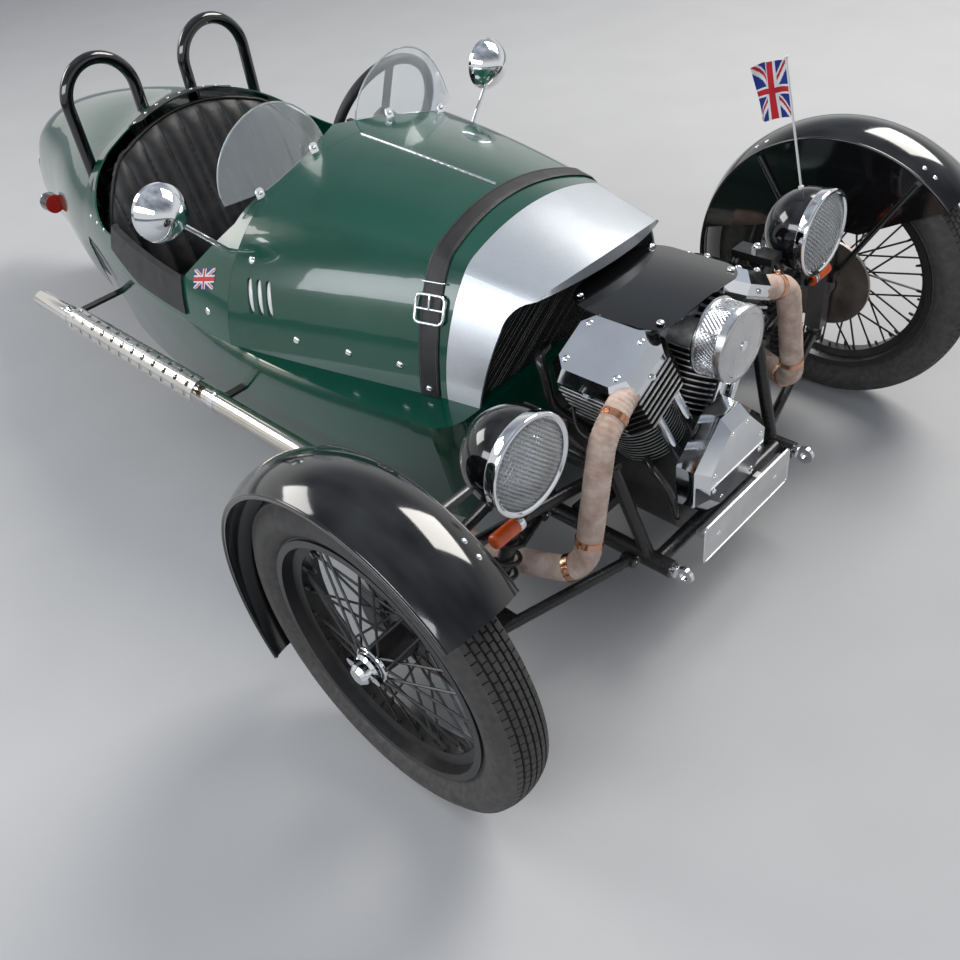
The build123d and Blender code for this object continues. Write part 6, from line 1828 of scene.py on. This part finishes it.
def lamp_fittings():
    """Collars of the indicators and rear lamps, the indicators' ribs and the rear lamps' shells."""
    cuff = [(0, 0.0002), (0.0155, 0.0002), (0.0160, 0.002), (0.0160, 0.012), (0.0150, 0.013), (0, 0.013)]
    rib = [(0.0149, -0.001), (0.0154, 0), (0.0149, 0.001)]
    ring = [
        (0.0240, -0.003), (0.0308, -0.003), (0.0312, 0.0), (0.0300, 0.003), (0.0262, 0.004), (0.0240, 0.001)
    ]
    shell = [(0.0302, -0.02), (0.0306, 0), (0.0302, 0.02)]
    collars, ribs, shells = [], [], []
    for side in (-1, 1):
        base = Vector((1.338, side * 0.511, 0.470))
        collars.append(turned(base, (0, side, 0), cuff, 32))
        for index in range(8):
            place = base + Vector((0, side * (0.018 + 0.006 * index), 0))
            ribs.append(turned(place, (0, side, 0), rib, 32))
        back = Vector((-0.985, side * 0.262, 0.452))
        collars.append(turned(back, (-1, 0, 0), ring, 48))
        shells.append(turned(back + Vector((0.022, 0, 0)), (1, 0, 0), shell, 48, closed=False))
    new_piece("lamp_collars", gather(*collars), chrome, crease=50.0)
    new_piece("indicator_ribs", gather(*ribs), amber_lens, crease=60.0)
    new_piece("rear_lamp_shells", gather(*shells), black_gloss, crease=60.0)


def plate_trim():
    """A raised lip round the blank number plate and its two screws."""
    loop = [Vector((1.5030, u, 0.226 + v)) for u, v in rounded_rectangle(0.326, 0.092, 0.010, 6)]
    lip = tube(loop, 0.0020, 8, looped=True)
    screws = [domed_screw((1.5029, y, 0.226), (1, 0, 0), 0.006, 0.0025) for y in (-0.110, 0.110)]
    new_piece("plate_lip", gather(lip, *screws), chrome, crease=60.0)


def frame_nuts():
    nuts = []
    find = skin_finder("front_frame")
    for side in (-1, 1):
        for start, direction, size in (
            ((FRONT_AXLE_X, side * 0.372, 0.9), (0, 0, -1), 0.011),
            ((1.160, side * 0.900, 0.430), (0, -side, 0), 0.009),
            ((1.160, side * 0.900, 0.207), (0, -side, 0), 0.009),
            ((1.400, side * 0.900, 0.207), (0, -side, 0), 0.009),
        ):
            place, _ = find(start, direction)
            if place is not None:
                nuts.append(acorn_nut(place + Vector(direction) * 0.001, -Vector(direction), size))
    new_piece("frame_nuts", gather(*nuts), chrome)


def cockpit_floor_mat():
    outline = [(0.195, -0.345), (0.70, -0.30), (0.70, 0.30), (0.195, 0.345)]
    mat = plate(outline, (0, 0, 0.1966), (1, 0, 0), (0, 1, 0), 0.004, 0.0)
    new_piece("floor_mat", mat, carpet_black)


def rim_studs():
    """Leather welt round the rear of the cockpit, held by small domed studs."""
    find = skin_finder("cockpit_rim")
    studs = []
    for step in range(17):
        turn = math.radians(-70 + 140 * step / 16)
        direction = Vector((0, math.sin(turn), math.cos(turn)))
        start = Vector((-0.385, 0, 0.55)) + direction * 0.7
        place, normal = find(start, -direction)
        if place is not None:
            studs.append(domed_screw(place, normal, 0.0045, 0.0022))
    new_piece("rim_studs", gather(*studs), chrome)


dress_cad_nodes()

for side in (-1, 1):
    name = side_name(side)
    front_centre = (FRONT_AXLE_X, side * HALF_TRACK, FRONT_TYRE_RADIUS)
    tyre = tyre_piece(
        f"tyre_{name}", f"wheel_{name}", front_centre, FRONT_TYRE_RADIUS, 0.054, 0.2493, 0.036, 6, 119
    )
    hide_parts(f"front_tyre_{name}")
    header_piece(side)
    side_pipe_piece(side)
    lamp_pieces(side)
    front_spring(side)
    rear_spring(side)
    wing_edges(side)
    wheel_trim(side)
rear_centre = (REAR_AXLE_X, 0.0, REAR_TYRE_RADIUS)
rear_tread = tyre_piece(
    "tyre_rear", "rear_wheel", rear_centre, REAR_TYRE_RADIUS, 0.0975, 0.2033, 0.078, 8, 108
)
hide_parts("rear_tyre")
engine_bolts()
air_cleaner_pieces()
engine_plumbing()
seat_pieces()
strap_pieces()
body_trim()
flag_pieces()
flank_print()
grille_piece()
dial_pieces()
steering_details()
screen_brackets()
screen_edges()
mirror_glass()
lamp_fittings()
plate_trim()
frame_nuts()
cockpit_floor_mat()
rim_studs()

aim_camera((2.2579, -1.3947, 1.6409), (0.72188, 0.68267, -0.11333), (-0.3799, 0.52783, 0.75965), 36.209)
studio_world()
studio_floor()
soft_lamp("key_lamp", (1.5, 4.5, 5.5), (0.3, 0.0, 0.4), (3.5, 3.5), 470.0, (1.0, 0.97, 0.92))
soft_lamp("fill_lamp", (1.2, -5.2, 3.3), (0.3, 0.0, 0.5), (7.0, 1.5), 230.0, (0.93, 0.96, 1.0))
soft_lamp("rim_lamp", (-4.5, -2.5, 4.0), (-0.2, 0.0, 0.5), (3.0, 2.0), 140.0, (1.0, 0.98, 0.95))
scene.view_settings.view_transform = "Standard"
